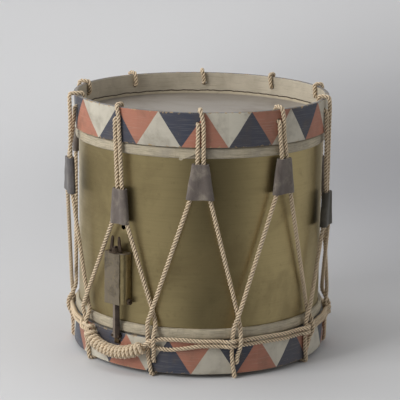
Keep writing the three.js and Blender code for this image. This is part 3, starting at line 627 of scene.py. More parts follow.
def triangle_group(given):
    """Triangles in three colours round a hoop, standing and hanging in turn, with worn paint."""
    place = parts(given["Vector"])
    grime, wood, base = given["Grime"], given["Wood"], given["Base"]
    wobble = line(grain(given["Vector"], 24.0, 2, 0.5), 0.7, -0.35)
    turn = line(turning(place), 180 / math.pi, wobble)
    # The painter's marks drift near the left of the upper hoop.
    near = maths("POWER", line(turn, 1 / 18, 70 / 18), 2.0)
    turn = line(maths("EXPONENT", times(near, -1.0)), given["Drift"], turn)
    across = maths("DIVIDE", less(turn, given["First Apex"]), 20.0)
    hanging = maths("ROUND", across)
    standing = maths("FLOOR", across)
    off = maths("ABSOLUTE", less(across, hanging))
    rise = maths("DIVIDE", less(place[2], base), less(given["Top"], base), clamp=True)
    hangs = maths("LESS_THAN", off, times(rise, 0.5))
    # Hanging triangles go white, red, blue from the first apex, and standing ones blue, white, red.
    rows = []
    for which, colours in ((standing, ("Blue", "White", "Red")), (hanging, ("White", "Red", "Blue"))):
        turns = maths("FLOORED_MODULO", which, 3.0)
        row = mix(maths("GREATER_THAN", turns, 0.5), given[colours[0]], given[colours[1]])
        rows.append(mix(maths("GREATER_THAN", turns, 1.5), row, given[colours[2]]))
    paint = mix(hangs, *rows)
    # Each triangle's shade differs a little.
    seed = line(hangs, 7.3, plus(hanging, standing))
    shade = put("TexWhiteNoise", {"W": seed}, noise_dimensions="1D")["Value"]
    paint = mix(times(shade, 0.22), paint, grime)
    # Fading and soiling in streaks along the hoop.
    streaks = grain(scaled(vector_of(times(turn, 0.03), place[2], 0.0), 1.0, 260.0, 1.0), 3.0, 4, 0.6)
    cloud = grain(given["Vector"], 38.0, 4, 0.62, 0.3)
    fine = grain(given["Vector"], 420.0, 3, 0.7)
    chips = grain(given["Vector"], 150.0, 4, 0.68)
    paint = layered(paint, (cloud, 0.42, 0.8, 0.5, grime), (streaks, 0.5, 0.85, 0.3, given["White"]))
    # Paint is lost near the hoop's edges first.
    near = times(maths("MAXIMUM", stretch(rise, 0.9, 1.0), stretch(rise, 0.1, 0.0)), 0.16)
    lost = stretch(plus(chips, near), 0.69, 0.73)
    paint = mix(times(lost, 0.85), paint, wood)
    # The edges are slate and the inner face is worn cream.
    level = vector_of(place[0], place[1])
    radius = put("VectorMath", {0: level}, operation="LENGTH")["Value"]
    normal = put("NewGeometry", {}, radius.id_data)["Normal"]
    flat = maths("GREATER_THAN", maths("ABSOLUTE", parts(normal)[2]), 0.6)
    edge = layered(given["Edge"], (chips, 0.5, 0.62, 0.75, wood), (cloud, 0.4, 0.7, 0.5, grime))
    middle = line(plus(given["Outer Radius"], given["Inner Radius"]), 0.5, -0.001)
    inside = times(maths("LESS_THAN", radius, middle), less(1.0, flat))
    dim = (0.33, 0.29, 0.22, 1)
    inner = layered(given["Inside"], (cloud, 0.35, 0.75, 0.5, dim), (streaks, 0.5, 0.8, 0.5, grime))
    rough = plus(line(cloud, 0.3, 0.42), times(lost, 0.2))
    height = less(line(fine, 0.25, times(streaks, 0.35)), times(lost, 0.5))
    return mix(inside, mix(flat, paint, edge), inner), rough, height


def lay_group(given):
    """Fibre of a laid rope, with yarns along it and painted shade between the strands."""
    place = parts(given["UV"])
    around = times(place[0], given["Strands"])
    off = maths("ABSOLUTE", less(around, maths("ROUND", around)))
    groove = stretch(off, 0.22, 0.46)
    # Yarns cross the strand at a slant, so that their fibres lie along the rope.
    slant = line(maths("DIVIDE", place[1], given["Lay"]), -1.0, place[0])
    yarn = vector_of(times(slant, 0.02), place[1])
    threads = grain(scaled(yarn, 3200.0, 420.0, 1.0), 1.0, 3, 0.65)
    patch = grain(scaled(yarn, 1.0, 22.0, 1.0), 1.0, 3, 0.6)
    shade = given["Shade"]
    base = layered(given["Fibre"], (threads, 0.42, 0.75, 0.55, shade))
    pale = mix(1.0, base, (1.12, 1.1, 1.08, 1), "MULTIPLY")
    base = layered(base, (patch, 0.35, 0.6, 1.0, pale), (patch, 0.5, 0.75, 0.18, shade))
    # Painted shade: the grooves between the strands take the shade colour, by the Groove amount.
    base = mix(times(groove, given["Groove"]), base, shade)
    return base, line(threads, 0.2, 0.72), less(threads, times(groove, 0.5))


# Materials. Each function gives the shader's inputs, and its relief's height, strength and depth.


def finish(name, build, *given):
    """A material that is made once, from a Principled shader and the object's coordinates."""
    made = bpy.data.materials.get(name)
    if made:
        return made
    made = bpy.data.materials.new(name)
    made.use_nodes = True
    tree = made.node_tree
    tree.nodes.clear()
    shader = tree.nodes.new("ShaderNodeBsdfPrincipled")
    feed(tree.nodes.new("ShaderNodeOutputMaterial").inputs, {0: shader.outputs[0]})
    inputs, relief = build(put("TexCoord", {}, tree)["Object"], *given)
    if relief:
        inputs["Normal"] = put("Bump", dict(zip(("Height", "Strength", "Distance"), relief)))[0]
    feed(shader.inputs, inputs)
    return made


def look(shade, rough, **others):
    """A shader's inputs, by their names with _ for each space."""
    others = {name.replace("_", " "): value for name, value in others.items()}
    return {"Base Color": shade, "Roughness": rough, **others}


def brass(place):
    cloud = grain(place, 9.0, 5, 0.6, 0.6)
    spots = grain(place, 90.0, 4, 0.65)
    spun = grain(scaled(place, 1.0, 1.0, 60.0), 14.0, 3, 0.6)
    dull = line(stretch(cloud, 0.4, 0.7), 0.6, stretch(spots, 0.55, 0.8, 0.35))
    tarnish = tones().tarnish
    shade = layered(mix(dull, tones().brass, tarnish), (spun, 0.4, 0.8, 0.18, tarnish))
    rough = line(spun, 0.08, line(dull, 0.14, 0.26))
    height = line(grain(place, 5.0, 2, 0.5), 6.0, times(spun, 0.05))
    return look(shade, rough, Metallic=line(dull, -0.3, 0.95), Anisotropic=0.8), (height, 0.35, 0.001)


def metal(place, base, rubbed, grime, amount, roughness, scale, metallic):
    """Old metal with grime and rubbed places."""
    values = {"Vector": place, "Colour": base, "Grime": grime, "Rubbed": rubbed}
    values |= {"Grime Amount": amount, "Rubbed Amount": 0.55, "Scale": scale}
    wear = shared("Grime and Rubbing", wear_group, values)
    rough = line(wear["Roughness"], 0.5, roughness)
    return look(wear["Colour"], rough, Metallic=metallic), (wear["Height"], 0.35, 0.0004)


def skin(place, raw=None):
    """Raw skin: mottled, stained and a little shiny, with a paler, ragged edge above a height and a painted
    shadow along that edge's top.
    """
    cloud = grain(place, 7.0, 6, 0.62, 0.8)
    veins = grain(scaled(place, 1.0, 0.45, 1.0), 22.0, 5, 0.7, 1.4)
    specks = grain(place, 180.0, 3, 0.7)
    stain = tones().skin_stain
    layers = (cloud, 0.38, 0.7, 0.8, stain), (veins, 0.5, 0.75, 0.35, stain)
    shade = layered(tones().skin, *layers, (specks, 0.6, 0.8, 0.4, stain))
    if raw:
        pale = layered(tones().lap, (veins, 0.45, 0.8, 0.5, stain))
        end = put("Attribute", {}, place.id_data, attribute_name="raw_end")["Fac"]
        # Painted shadow: a dark ragged line along the top of the raw edge, where the gap between skin and
        # hoop lies in shade.
        rim = (line(specks, 0.16, end), 0.9, 1.0, 1.0, srgb(62, 50, 40))
        shade = layered(shade, (parts(place)[2], raw, raw + 0.003, 1.0, pale), rim)
    return look(shade, line(cloud, 0.3, 0.42)), (line(veins, 1.0, times(specks, 0.3)), 0.3, 0.0006)


def lapped(place):
    """Skin lapped round the flesh hoops, streaked along the hoop."""
    ways = parts(place)
    strip = vector_of(turning(ways), ways[2])
    streaks = grain(scaled(strip, 9.0, 900.0, 1.0), 1.0, 5, 0.65, 0.5)
    cloud = grain(place, 26.0, 5, 0.6, 0.6)
    folds = grain(scaled(strip, 55.0, 60.0, 1.0), 1.0, 3, 0.6, 0.8)
    layers = (streaks, 0.4, 0.68, 0.7, srgb(118, 112, 92)), (cloud, 0.4, 0.75, 0.55, tones().skin)
    shade = layered(tones().lap, *layers, (folds, 0.55, 0.8, 0.5, tones().skin_stain))
    return look(shade, line(cloud, 0.25, 0.5)), (line(folds, 1.5, streaks), 0.5, 0.0008)


def paint(place, first_apex, drift, node):
    """Painted wood of one counterhoop."""
    tone, (base, top), outer = tones(), span(node), sizes().hoop_radius
    values = {"Vector": place, "Red": tone.red, "White": tone.white, "Blue": tone.blue}
    values |= {"Edge": tone.edge_paint, "Inside": srgb(192, 182, 163), "Wood": tone.wood}
    values |= {"Grime": srgb(96, 84, 70), "First Apex": first_apex, "Drift": drift, "Base": base}
    values |= {"Top": top, "Outer Radius": outer, "Inner Radius": outer - sizes().hoop_wall}
    made = shared("Triangle Paint", triangle_group, values)
    return look(made["Colour"], made["Roughness"]), (made["Height"], 0.4, 0.0006)


def hemp(place, groove):
    """Laid rope, whose coordinates are its own UV map's."""
    values = {"UV": put("UVMap", {}, place.id_data, uv_map="UVMap")[0], "Fibre": tones().rope}
    values |= {"Shade": tones().rope_dark, "Lay": sizes().rope_lay, "Strands": 3.0, "Groove": groove}
    made = shared("Laid Fibre", lay_group, values)
    return look(made["Colour"], made["Roughness"], Sheen_Weight=0.15), (made["Height"], 0.6, 0.0005)


def suede(place, tone):
    cloud = grain(place, 42.0, 5, 0.62, 0.5)
    nap = grain(place, 900.0, 3, 0.7)
    creases = grain(scaled(place, 1.0, 1.0, 0.35), 110.0, 4, 0.6, 0.9)
    worn = 0.6 if tone == "suede" else 0.2
    layers = (cloud, 0.45, 0.8, worn, tones().suede_light), (creases, 0.52, 0.8, 0.6, srgb(64, 56, 52))
    shade = layered(getattr(tones(), tone), *layers, (nap, 0.45, 0.75, 0.3, srgb(70, 62, 56)))
    return look(shade, 0.88, Sheen_Weight=0.2), (line(creases, 1.4, times(nap, 0.3)), 0.5, 0.0006)


def aged_gut(place):
    cloud = grain(place, 200.0, 3, 0.6)
    shade = layered(tones().gut, (cloud, 0.4, 0.7, 0.6, srgb(64, 50, 34)))
    return look(shade, 0.45), (cloud, 0.3, 0.0002)


def strap_metal_painted_light(place):
    """Dark old iron with painted light and shade: the left part is painted pale as if lit, and the dark
    rest stands for shade as well as the iron.
    """
    aside = at(STRAINER_TURN, 1, 0, 0)
    across = put("VectorMath", {0: place, 1: aside}, operation="DOT_PRODUCT")["Value"]
    cloud = grain(place, 90.0, 4, 0.6)
    # Painted highlight: the strap's left part goes pale as if lit; the dark base tone also stands for the
    # strap's shade.
    pale = (line(cloud, 0.002, across), 0.0012, 0.0, 1.0, srgb(150, 136, 124))
    shade = layered(srgb(70, 58, 50), (cloud, 0.4, 0.7, 1.0, srgb(44, 36, 30)), pale)
    return look(shade, line(cloud, 0.3, 0.3), Metallic=0.6), (cloud, 0.35, 0.0004)


def floor(place):
    """A pale floor with painted light: paler far away, and a painted shadow in a soft patch behind the
    drum.
    """
    # Painted light: the floor grows paler far away.
    far = mix(stretch(parts(place)[1], 0.3, 2.4), tones().floor, srgb(247, 247, 248))
    # Painted shadow: a soft darker patch behind the drum, to its right.
    away = put("VectorMath", {0: place, 1: (0.9, 1.2, 0.0)}, operation="DISTANCE")["Value"]
    return look(layered(far, (away, 1.5, 0.3, 0.85, srgb(166, 166, 170))), 0.9), None


def old_brass():
    rest = (srgb(176, 160, 122), srgb(70, 62, 50), 0.6, 0.22, 45.0, 0.75)
    return finish("Tarnished Brass", metal, tones().fitting, *rest)


def rubbed_brass():
    rest = (srgb(192, 176, 136), srgb(78, 66, 44), 0.6, 0.12, 45.0, 0.9)
    return finish("Rubbed Brass", metal, srgb(168, 152, 112), *rest)


def old_iron():
    rest = (srgb(140, 122, 100), srgb(44, 36, 30), 0.7, 0.25, 90.0, 0.7)
    return finish("Old Iron", metal, tones().iron, *rest)


# Pieces


def round_noise(turn, size, seed):
    """Noise that closes on itself round the drum."""
    return noise.noise(Vector((math.sin(turn) * size, math.cos(turn) * size, seed)))


def build_shell():
    size = sizes()
    base, top = span("shell")
    outer, wall = size.shell_radius, size.shell_wall
    lip = outer - size.shell_lip
    corners = [(outer, base), (outer, top), (lip, top), (lip, top - wall), (outer - wall, top - wall)]
    corners += [(outer - wall, base + wall), (lip, base + wall), (lip, base)]
    sheet = rounded(corners, [wall * 0.9, wall * 0.9, wall * 0.3, 0, 0, 0, 0, wall * 0.3])
    material = finish("Worn Sheet Brass", brass)
    shell = settle("brass_shell", turned(sheet, 240), material, ROOT, ["shell"], "sheet_brass")
    bars = [radial_bar(VENT_TURN, 0, outer - 0.01, outer + 0.005, VENT_HEIGHT, 0.004)]
    for side in ("upper", "lower"):
        height = low("strainer_screw_" + side).z + 0.004
        bars.append(radial_bar(STRAINER_TURN, 0, outer - 0.01, outer + 0.002, height, 0.0023))
    bored(shell, bars)


def build_heads():
    size = sizes()
    skin_wall, outer = size.skin, size.skin_radius
    inner = outer - skin_wall
    head = high("batter_counterhoop").z - size.head_recess
    foot, rag = span("batter_head")
    outline = [(radius, head - skin_wall) for radius in (0, 0.06, 0.12, 0.17, inner)]
    outline += [(inner, foot), (outer, foot), (outer, head + 0.004), (outer, rag - 0.001)]
    outline += [(outer - skin_wall * 0.4, rag), (inner, rag - 0.001), (inner, head + 0.0008)]
    outline += [(inner - 0.002, head - 0.0004)]
    outline += [(radius, head) for radius in (0.17, 0.12, 0.06, 0)]
    bm = turned(outline, 240)
    end = bm.verts.layers.float.new("raw_end")
    for vertex in bm.verts:
        spot = vertex.co
        if spot.z > head + 0.005:
            vertex[end] = 1.0
            turn = math.atan2(spot.x, -spot.y)
            tear = round_noise(turn, 14, 2.0) + 0.5 * round_noise(turn, 60, 5.0)
            spot.z -= 0.0022 + 0.003 * (0.5 + 0.5 * tear)
    edged = finish("Raw Skin with Edge", skin, head + 0.0002)
    settle("batter_skin", bm, edged, ROOT, ["batter_head"], "skin")
    base, top = span("snare_head")
    outline = [(0, base), (0.1, base), (outer - 0.001, base), (outer, base + 0.001), (outer, top)]
    outline += [(inner, top), (inner, base + skin_wall), (0.1, base + skin_wall), (0, base + skin_wall)]
    settle("snare_skin", turned(outline, 180), finish("Raw Skin", skin), ROOT, ["snare_head"], "skin")


def build_flesh_hoops():
    outer = sizes().flesh_radius
    inner = outer - 0.0052
    material = finish("Lapped Skin", lapped)
    for name in ("batter_flesh_hoop", "snare_flesh_hoop"):
        base, top = span(name)
        middle = (base + top) / 2
        outline = rounded(oblong(inner, outer, base, top), [0.0006, 0.0046, 0.0046, 0.0006], 7)
        bm = turned(outline, 300)
        for vertex in bm.verts:
            spot = vertex.co
            radius = math.hypot(spot.x, spot.y)
            if radius < inner + 0.001:
                continue
            turn = math.atan2(spot.x, -spot.y)
            here = Vector((math.sin(turn) * 5, math.cos(turn) * 5, spot.z * 40))
            swell = noise.noise(here) * 0.0006 + noise.noise(here * 5) * 0.0003
            share = (radius + swell - 0.0003) / radius
            spot.x *= share
            spot.y *= share
            spot.z = middle + (spot.z - middle) * (0.96 + 0.035 * round_noise(turn, 9, 3))
        settle("lapped_" + name, bm, material, ROOT, [name], "lapped_hoop")
    # The lapped skin's free corner hangs out under the upper hoop.
    flap = bmesh.new()
    bmesh.ops.create_grid(flap, x_segments=14, y_segments=5, size=0.5)
    base = low("batter_flesh_hoop").z
    for vertex in flap.verts:
        share = vertex.co.x + 0.5
        rise = vertex.co.y + 0.5
        free = base - 0.0016 * math.sin(math.pi * min(1, share * 4)) + 0.0098 * share**1.5
        height = free + (base + 0.0125 - free) * rise
        out = outer + 0.0002 + 0.0016 * math.sin(math.pi * min(1, share * 0.8)) * (1 - rise) ** 2
        vertex.co = at(-9.2 + 7.4 * share, 0, out - 0.0012 * rise**3, height)
    bmesh.ops.solidify(flap, geom=flap.faces, thickness=0.0006)
    bmesh.ops.recalc_face_normals(flap, faces=flap.faces)
    settle("lapped_skin_end", flap, material, ROOT, [], "lapped_hoop")


def build_counterhoops():
    size = sizes()
    outer = size.hoop_radius
    inner = outer - size.hoop_wall
    ends = (inner - 0.003, outer + 0.003)
    half = size.strand_spread / 2
    gate = high("snare_counterhoop").z - 0.0130
    for name, apex, drift in (("batter_counterhoop", -48.2, 6.3), ("snare_counterhoop", -23.0, 0.0)):
        base, top = span(name)
        outline = rounded(oblong(inner, outer, base, top), [0.001, 0.0012, 0.0014, 0.0014], 4)
        material = finish("Painted " + name, paint, apex, drift, name)
        bm = turned(outline, 240)
        piece = settle("painted_" + name, bm, material, ROOT, [name], "painted_wood")
        upper = name == "batter_counterhoop"
        cutters = []
        for count in range(FASTENINGS):
            turn, across, height = fastening(count), half, base + size.hole_drop
            if upper:
                turn, across, height = above(count), -half, top - size.hole_drop
            cutters.append(radial_bar(turn, across, *ends, height, size.rope / 2 + 0.0005))
        if not upper:
            for turn in (STRAINER_TURN, BUTT_TURN):
                form = cube((0.012, ends[1] - ends[0], 0.0105), (0, -sum(ends) / 2, gate))
                cutters.append(swung(form, turn))
        bored(piece, cutters)


def build_tension_rope():
    size = sizes()
    radius = size.rope / 2
    seat = GAP + radius
    half = size.strand_spread / 2
    wide = STRAND_ASIDE
    hoop, flesh = size.hoop_radius, size.flesh_radius
    corner = hoop - size.hoop_wall
    inside, outside = corner - seat, hoop + seat
    ease = 0.004
    rim = high("batter_counterhoop").z
    base = low("snare_counterhoop").z
    upper_hole, lower_hole = rim - size.hole_drop, base + size.hole_drop
    ring = high("snare_flesh_hoop").z
    wall = (corner + hoop) / 2
    material = finish("Laid Hemp", hemp, 0.85)
    for count in range(FASTENINGS):
        number = f"{count + 1:02d}"
        turn, left, right = above(count), fastening(count - 1), fastening(count)
        stand = outside + TUG_STAND_OFFS[count]
        spread = TUG_BOTTOMS[count] / 2 - size.tug_leather - GAP - radius + TUG_CORNERS[count]
        tug_base, tug_top = span("leather_tug_" + number)
        middle = (tug_base + tug_top) / 2
        share = (spread + half) / 2
        before = (count - 1) % FASTENINGS
        lean, rise = LEANS[before], CROSSINGS[before]

        def strand(across, height):
            return at(turn, TUG_SIDEWAYS[count] + across, stand, height)

        from_left = [
            at(left, half, wall, lower_hole),
            *bend(left, (half, half), inside + ease, lower_hole - ease, ease, 90, 180),
            at(left, half, inside, lower_hole - ease - 0.002),
            *bend(left, (half * 0.8, half * 0.5), corner, base, seat, -180, -90),
            *bend(left, (half * 0.4, 0), hoop, base, seat, -90, 0),
            at(left, -half * 0.7, outside, lower_hole - 0.002),
            at(left, lean * 0.25 - wide, outside, ring - 0.038),
            at(left, lean * 0.5 - wide, outside, ring - 0.009),
            at(left, lean * 0.8 - wide, flesh + 0.0078, ring + rise * 0.36),
            at(left, lean - 0.001, flesh + 0.0081, ring + rise),
            strand(-spread, tug_base - 0.001),
            strand(-share, middle),
        ]
        lean, rise = LEANS[count], CROSSINGS[count]
        to_right = [
            strand(share, middle),
            strand(spread, tug_base - 0.001),
            at(right, lean + 0.001, flesh + 0.0004, ring + rise),
            at(right, lean * 0.8 + half, flesh + 0.0008, ring + rise * 0.46),
            at(right, lean * 0.65 + wide, flesh + seat, ring + rise * 0.15),
            at(right, lean * 0.5 + wide, outside + 0.0012, ring - 0.004),
            at(right, lean * 0.35 + wide, outside + size.rope, ring - 0.012),
            at(right, lean * 0.2 + wide, outside + size.rope, ring - 0.026),
            at(right, wide - 0.0006, outside + 0.0012, ring - 0.036),
            at(right, half, outside, lower_hole + 0.010),
            *bend(right, (half, half), hoop - GAP, lower_hole + ease, ease, 0, -90),
            at(right, half, wall, lower_hole),
        ]
        over = [
            strand(-share, middle),
            strand(-half - 0.0004, tug_top),
            at(turn, -half, outside, upper_hole - 0.012),
            *bend(turn, (-half, -half), hoop - GAP, upper_hole - ease, ease, 0, 90),
            *bend(turn, (-half, -half), inside + ease, upper_hole + ease, ease, -90, -180),
            *bend(turn, (-half * 0.5, -half * 0.25), corner, rim, seat, 180, 90),
            *bend(turn, (-half * 0.25, 0), hoop + TUG_STAND_OFFS[count], rim, seat, 90, 0),
            at(turn, half * 0.8, stand + 0.0004, upper_hole + radius),
            at(turn, half, stand, upper_hole - 0.016),
            strand(half + 0.0004, tug_top),
            strand(share, middle),
        ]
        bay, tug = "tension_rope_bay_" + number, "tug_" + number
        nodes = [bay, f"tension_rope_loop_{before + 1:02d}"]
        look_of = (material, radius)
        routes = [eased(from_left, 0.006), eased(to_right, 0.006)]
        lower = cord("rope_below_" + tug, routes, *look_of, nodes, "hemp_rope", size.rope_lay)
        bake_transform(lower)
        routes = [eased(over, 0.005)]
        upper = cord("rope_above_" + tug, routes, *look_of, [bay], "hemp_rope", size.rope_lay)
        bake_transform(upper)


def build_surplus_rope():
    size = sizes()
    radius = size.rope / 2
    outside = size.hoop_radius + GAP + radius
    over = outside + size.rope + 0.0006
    hoop_top = high("snare_counterhoop").z
    strand = math.degrees(STRAND_ASIDE / over)
    left, right = fastening(8) - 360, fastening(9) - 360
    start, end = left + 3.1, right - 3.3

    def axis(share):
        """The winding's axis: its angle and its point at a share of the way."""
        turn = start + (end - start) * share
        drop = 0.0095 + 0.0035 * share + 0.064 * share * (1 - share)
        # Its left end falls steeply.
        drop += 0.0016 * math.exp(-(((share - 0.2) / 0.16) ** 2))
        drop -= 0.0045 * math.exp(-((share / 0.07) ** 2))
        return turn, at(turn, 0, over, hoop_top - drop)

    def lap(height, drift):
        """One lap, over the left strand and under the right one at each fastening."""
        points = []
        last = -360
        for count in range(10, 19):
            middle = fastening(count % FASTENINGS)
            if middle < last:
                middle += 360
            last = middle
            wave = drift * math.sin(count * 2.1)
            for turn, out, rise in (
                (middle - 15.0, outside, wave),
                (middle - strand - 3.6, outside + 0.0012, wave * 0.5),
                (middle - strand - 1.6, over - 0.0012, 0),
                (middle - strand + 0.2, over, 0),
                (middle, (over + outside) / 2, 0),
                (middle + strand, outside, 0),
                (middle + strand + 3, outside, wave * 0.3),
            ):
                points.append(at(turn, 0, out, height + rise))
        return points

    lower_lap = hoop_top - 0.0068
    upper_lap = hoop_top + 0.0004
    # The first length ends inside the winding, where the second one starts.
    first = [
        at(right - 1.2, 0, over - 0.002, lower_lap),
        at(right + 2.4, 0, outside + 0.001, lower_lap - 0.006),
        at(right + 8, 0, outside, lower_lap - 0.0075),
        at(right + 15, 0, outside, lower_lap - 0.0035),
        *lap(lower_lap, 0.0006)[:-3],
        at(left, 0, over, lower_lap),
        *(axis(step / 16)[1] for step in range(9)),
    ]
    second = [
        *(axis(step / 16)[1] for step in range(8, 17)),
        at(right - 1.4, 0, over, hoop_top - 0.006),
        at(right + 0.6, 0, over - 0.0006, upper_lap - 0.001),
        at(right + 4, 0, outside + 0.001, upper_lap + 0.001),
        at(right + 12, 0, outside, upper_lap + 0.002),
        *lap(upper_lap, 0.0005)[:-4],
        at(left + 360 - 1.6, 0, over, upper_lap),
    ]
    routes = [eased(first, 0.006), eased(second, 0.006)]
    material = finish("Laid Hemp", hemp, 0.85)
    laps = cord("surplus_laps", routes, material, radius, ["surplus_rope_laps"], "hemp_rope", size.rope_lay)
    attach(laps, ROOT)

    turns = 15.75
    steps = int(turns * 24)
    wound = []
    for step in range(steps + 1):
        share = step / steps
        turn, point = axis(share)
        ahead = (axis(share + 0.001)[1] - axis(share - 0.001)[1]).normalized()
        outward = at(turn, 0, 1, 0)
        angle = math.pi / 2 + 2 * math.pi * turns * share
        reach = size.rope * 1.07 + 0.00025 * math.sin(step * 0.37)
        around = outward * (reach * math.cos(angle)), outward.cross(ahead) * (reach * math.sin(angle))
        wound.append(point + around[0] + around[1])
    tail_way = (wound[-1] - wound[-2]).normalized()
    route = [
        at(start, -0.0145, over, upper_lap),
        at(start, -0.007, over + 0.0004, upper_lap),
        at(start, -0.003, over + 0.0002, upper_lap - 0.002),
        *wound,
        wound[-1] + tail_way * 0.004,
        wound[-1] + tail_way * 0.0075,
    ]
    how = (finish("Wound Hemp", hemp, 0.3), radius * 0.97, ["surplus_rope_winding"], "hemp_rope")
    winding = cord("surplus_winding", [route], *how, size.rope_lay, 0.0011, 0.86)
    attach(winding, ROOT)


def build_tugs():
    size = sizes()
    rings = 18
    for count in range(FASTENINGS):
        number = f"{count + 1:02d}"
        node = "leather_tug_" + number
        base, top = span(node)
        name, tone = LEATHERS.get(count, ("Buff Leather", "suede"))
        seed = random.Random(40 + count).uniform(0, 50)
        stand = size.hoop_radius + GAP + size.rope / 2 + TUG_STAND_OFFS[count]
        lap_side = -1 if count % 3 == 1 else 1
        bm = bmesh.new()
        bmesh.ops.create_circle(bm, cap_ends=False, radius=1, segments=72)
        edges = list(moved(bm, (0, 0, base)).edges)
        for _ in range(rings):
            edges = extruded(bm, edges, (0, 0, (top - base) / rings))
        for vertex in bm.verts:
            spot = vertex.co
            angle = math.atan2(spot.y, spot.x)
            share = (spot.z - base) / (top - base)
            half = (TUG_BOTTOMS[count] + (size.tug_top - TUG_BOTTOMS[count]) * share) / 2
            deep = size.rope / 2 + 0.0004 + size.tug_leather
            flat = half - deep
            across = flat * math.tanh(2.2 * math.cos(angle)) / math.tanh(2.2) + deep * math.cos(angle)
            depth = deep * math.sin(angle)
            # The leather lies over the strands and sinks between them.
            off = min(1, abs(across) / max(flat * 0.94, 1e-6))
            depth *= 1 - 0.26 * ((1 - off**2) * (1 - share) ** 0.7)
            here = Vector((across * 90, math.sin(angle) * 1.5, spot.z * 60 + seed))
            depth += noise.noise(here) * 0.00045
            across += noise.noise(here + Vector((9, 0, 0))) * 0.0005
            # One edge of the leather laps over the other at the front.
            if math.sin(angle) < 0:
                lap = across * lap_side - half * (0.28 + 0.1 * share)
                depth -= 0.0009 / (1 + math.exp(-lap / 0.00035))
            wave = noise.noise(Vector((across * 55, math.sin(angle), seed))) * 0.0011
            slope = across * 0.03 * (1 if count % 2 else -1)
            height = spot.z + (wave + slope) * (1 - share) ** 2 + wave * 0.4 * share**6
            vertex.co = at(above(count), TUG_SIDEWAYS[count] + across, stand - depth, height)
        bmesh.ops.recalc_face_normals(bm, faces=bm.faces)
        outward = at(above(count), 0, 1, 0)
        probe = max(bm.faces, key=lambda face: face.calc_center_median().dot(outward))
        if probe.normal.dot(outward) < 0:
            bmesh.ops.reverse_faces(bm, faces=bm.faces)
        bmesh.ops.solidify(bm, geom=bm.faces, thickness=size.tug_leather * 0.92)
        bmesh.ops.recalc_face_normals(bm, faces=bm.faces)
        softened(bm, 0.0004, 2, 50)
        body = "tug_" + number
        settle(body + "_leather", bm, finish(name, suede, tone), body, [node], "tug_leather", 60)


def build_housing():
    """The flat front plate laps over the rounded side, under one lid."""
    back = sizes().shell_radius + GAP
    front = back + 0.0167
    base, top = span("strainer_housing")
    left, right, seam, wall = -0.02, 0.02, 0.0105, 0.0012
    given = (ROOT, ["strainer_housing"], "old_brass")
    corners = [(left, back), (left, front), (seam, front), (seam, front - wall)]
    corners += [(left + wall, front - wall), (left + wall, back)]
    outline = rounded(corners, [0.0002, 0.003, 0.0004, 0.0004, 0.0018, 0.0002], 5)
    plate = upright(outline, base, top - LID - base)
    ringed(plate, 30)
    aside, outward = at(STRAINER_TURN, 1, 0, 0), at(STRAINER_TURN, 0, 1, 0)
    for vertex in plate.verts:
        spot = vertex.co
        near = max(0, (spot.dot(aside) - left) / (seam - left)) ** 3
        # The free edge is worn wavy and dented halfway up.
        wave = noise.noise(Vector((2.0, 0.0, spot.z * 90))) * 0.0011
        wave -= 0.0012 * math.exp(-(((spot.z - base - 0.029) / 0.0025) ** 2))
        if spot.dot(outward) > front - 0.002:
            spot += aside * wave * near
            spot += outward * near * 0.0006 * noise.noise(Vector((7.0, 0.0, spot.z * 60)))
    settle("strainer_front_plate", softened(plate, 0.0003, 2, 50), old_brass(), *given)
    outer = front - wall - GAP
    edge = seam - 0.004
    corners = [(edge, outer), (right, outer), (right, back), (right - wall, back)]
    corners += [(right - wall, outer - wall), (edge, outer - wall)]
    outline = rounded(corners, [0.0002, 0.0088, 0.0002, 0.0002, 0.0076, 0.0002], 10)
    side = softened(upright(outline, base + 0.002, top - 0.0036 - base), 0.0003, 2, 50)
    settle("strainer_round_side", side, rubbed_brass(), *given)
    corners = [(left, back), (left, front), (right, front - 0.001), (right, back)]
    outline = rounded(corners, [0.0003, 0.003, 0.009, 0.0003], 8)
    lid = softened(upright(outline, top - LID, LID), 0.0005, 3, 50)
    lid = settle("strainer_lid", lid, old_brass(), *given)
    spindle = at(STRAINER_TURN, 0, sizes().hoop_radius + SPINDLE_OUT, top)
    bored(lid, [moved(bar(0.0033, 0.01, 32), spindle)])


def build_wing_nut():
    """A dished washer and hub with two upright lugs."""
    spindle = sizes().hoop_radius + SPINDLE_OUT
    foot, top = span("strainer_wing_nut")
    profile = [(0.0033, 0), (0.0103, 0), (0.0105, 0.0004), (0.0105, 0.0020), (0.0102, 0.0025)]
    profile += [(0.0096, 0.0025), (0.0090, 0.0016), (0.0062, 0.0014), (0.0053, 0.0024)]
    profile += [(0.0051, 0.0062), (0.0046, 0.0070), (0.0033, 0.0070)]
    dish = turned([(radius, foot + height) for radius, height in profile], 48)
    whole = [moved(dish, at(STRAINER_TURN, 0, spindle, 0))]
    for side in (-1, 1):
        lug = cube((0.0064, 0.0028, top - foot - 0.001), (0, 0, (top + foot + 0.001) / 2))
        ringed(lug, 8)
        for vertex in lug.verts:
            spot = vertex.co
            rise = (spot.z - foot) / (top - foot)
            spot.x *= 1.0 - 0.5 * rise**5 - 0.1 * math.sin(math.pi * rise)
            spot.y *= 1.0 - 0.3 * rise**3
            spot.x += side * (0.0072 + 0.0009 * math.cos(math.pi * rise))
        whole.append(swung(moved(softened(lug, 0.0009, 3, 40), (0, -spindle, 0)), STRAINER_TURN))
    iron("wing_nut", joined(*whole), "wing_nut", "strainer_wing_nut")


def iron(name, bm, body, node):
    """Settles an iron piece of the strainer."""
    settle(name, bm, old_iron(), body, [node], "old_iron", 40)


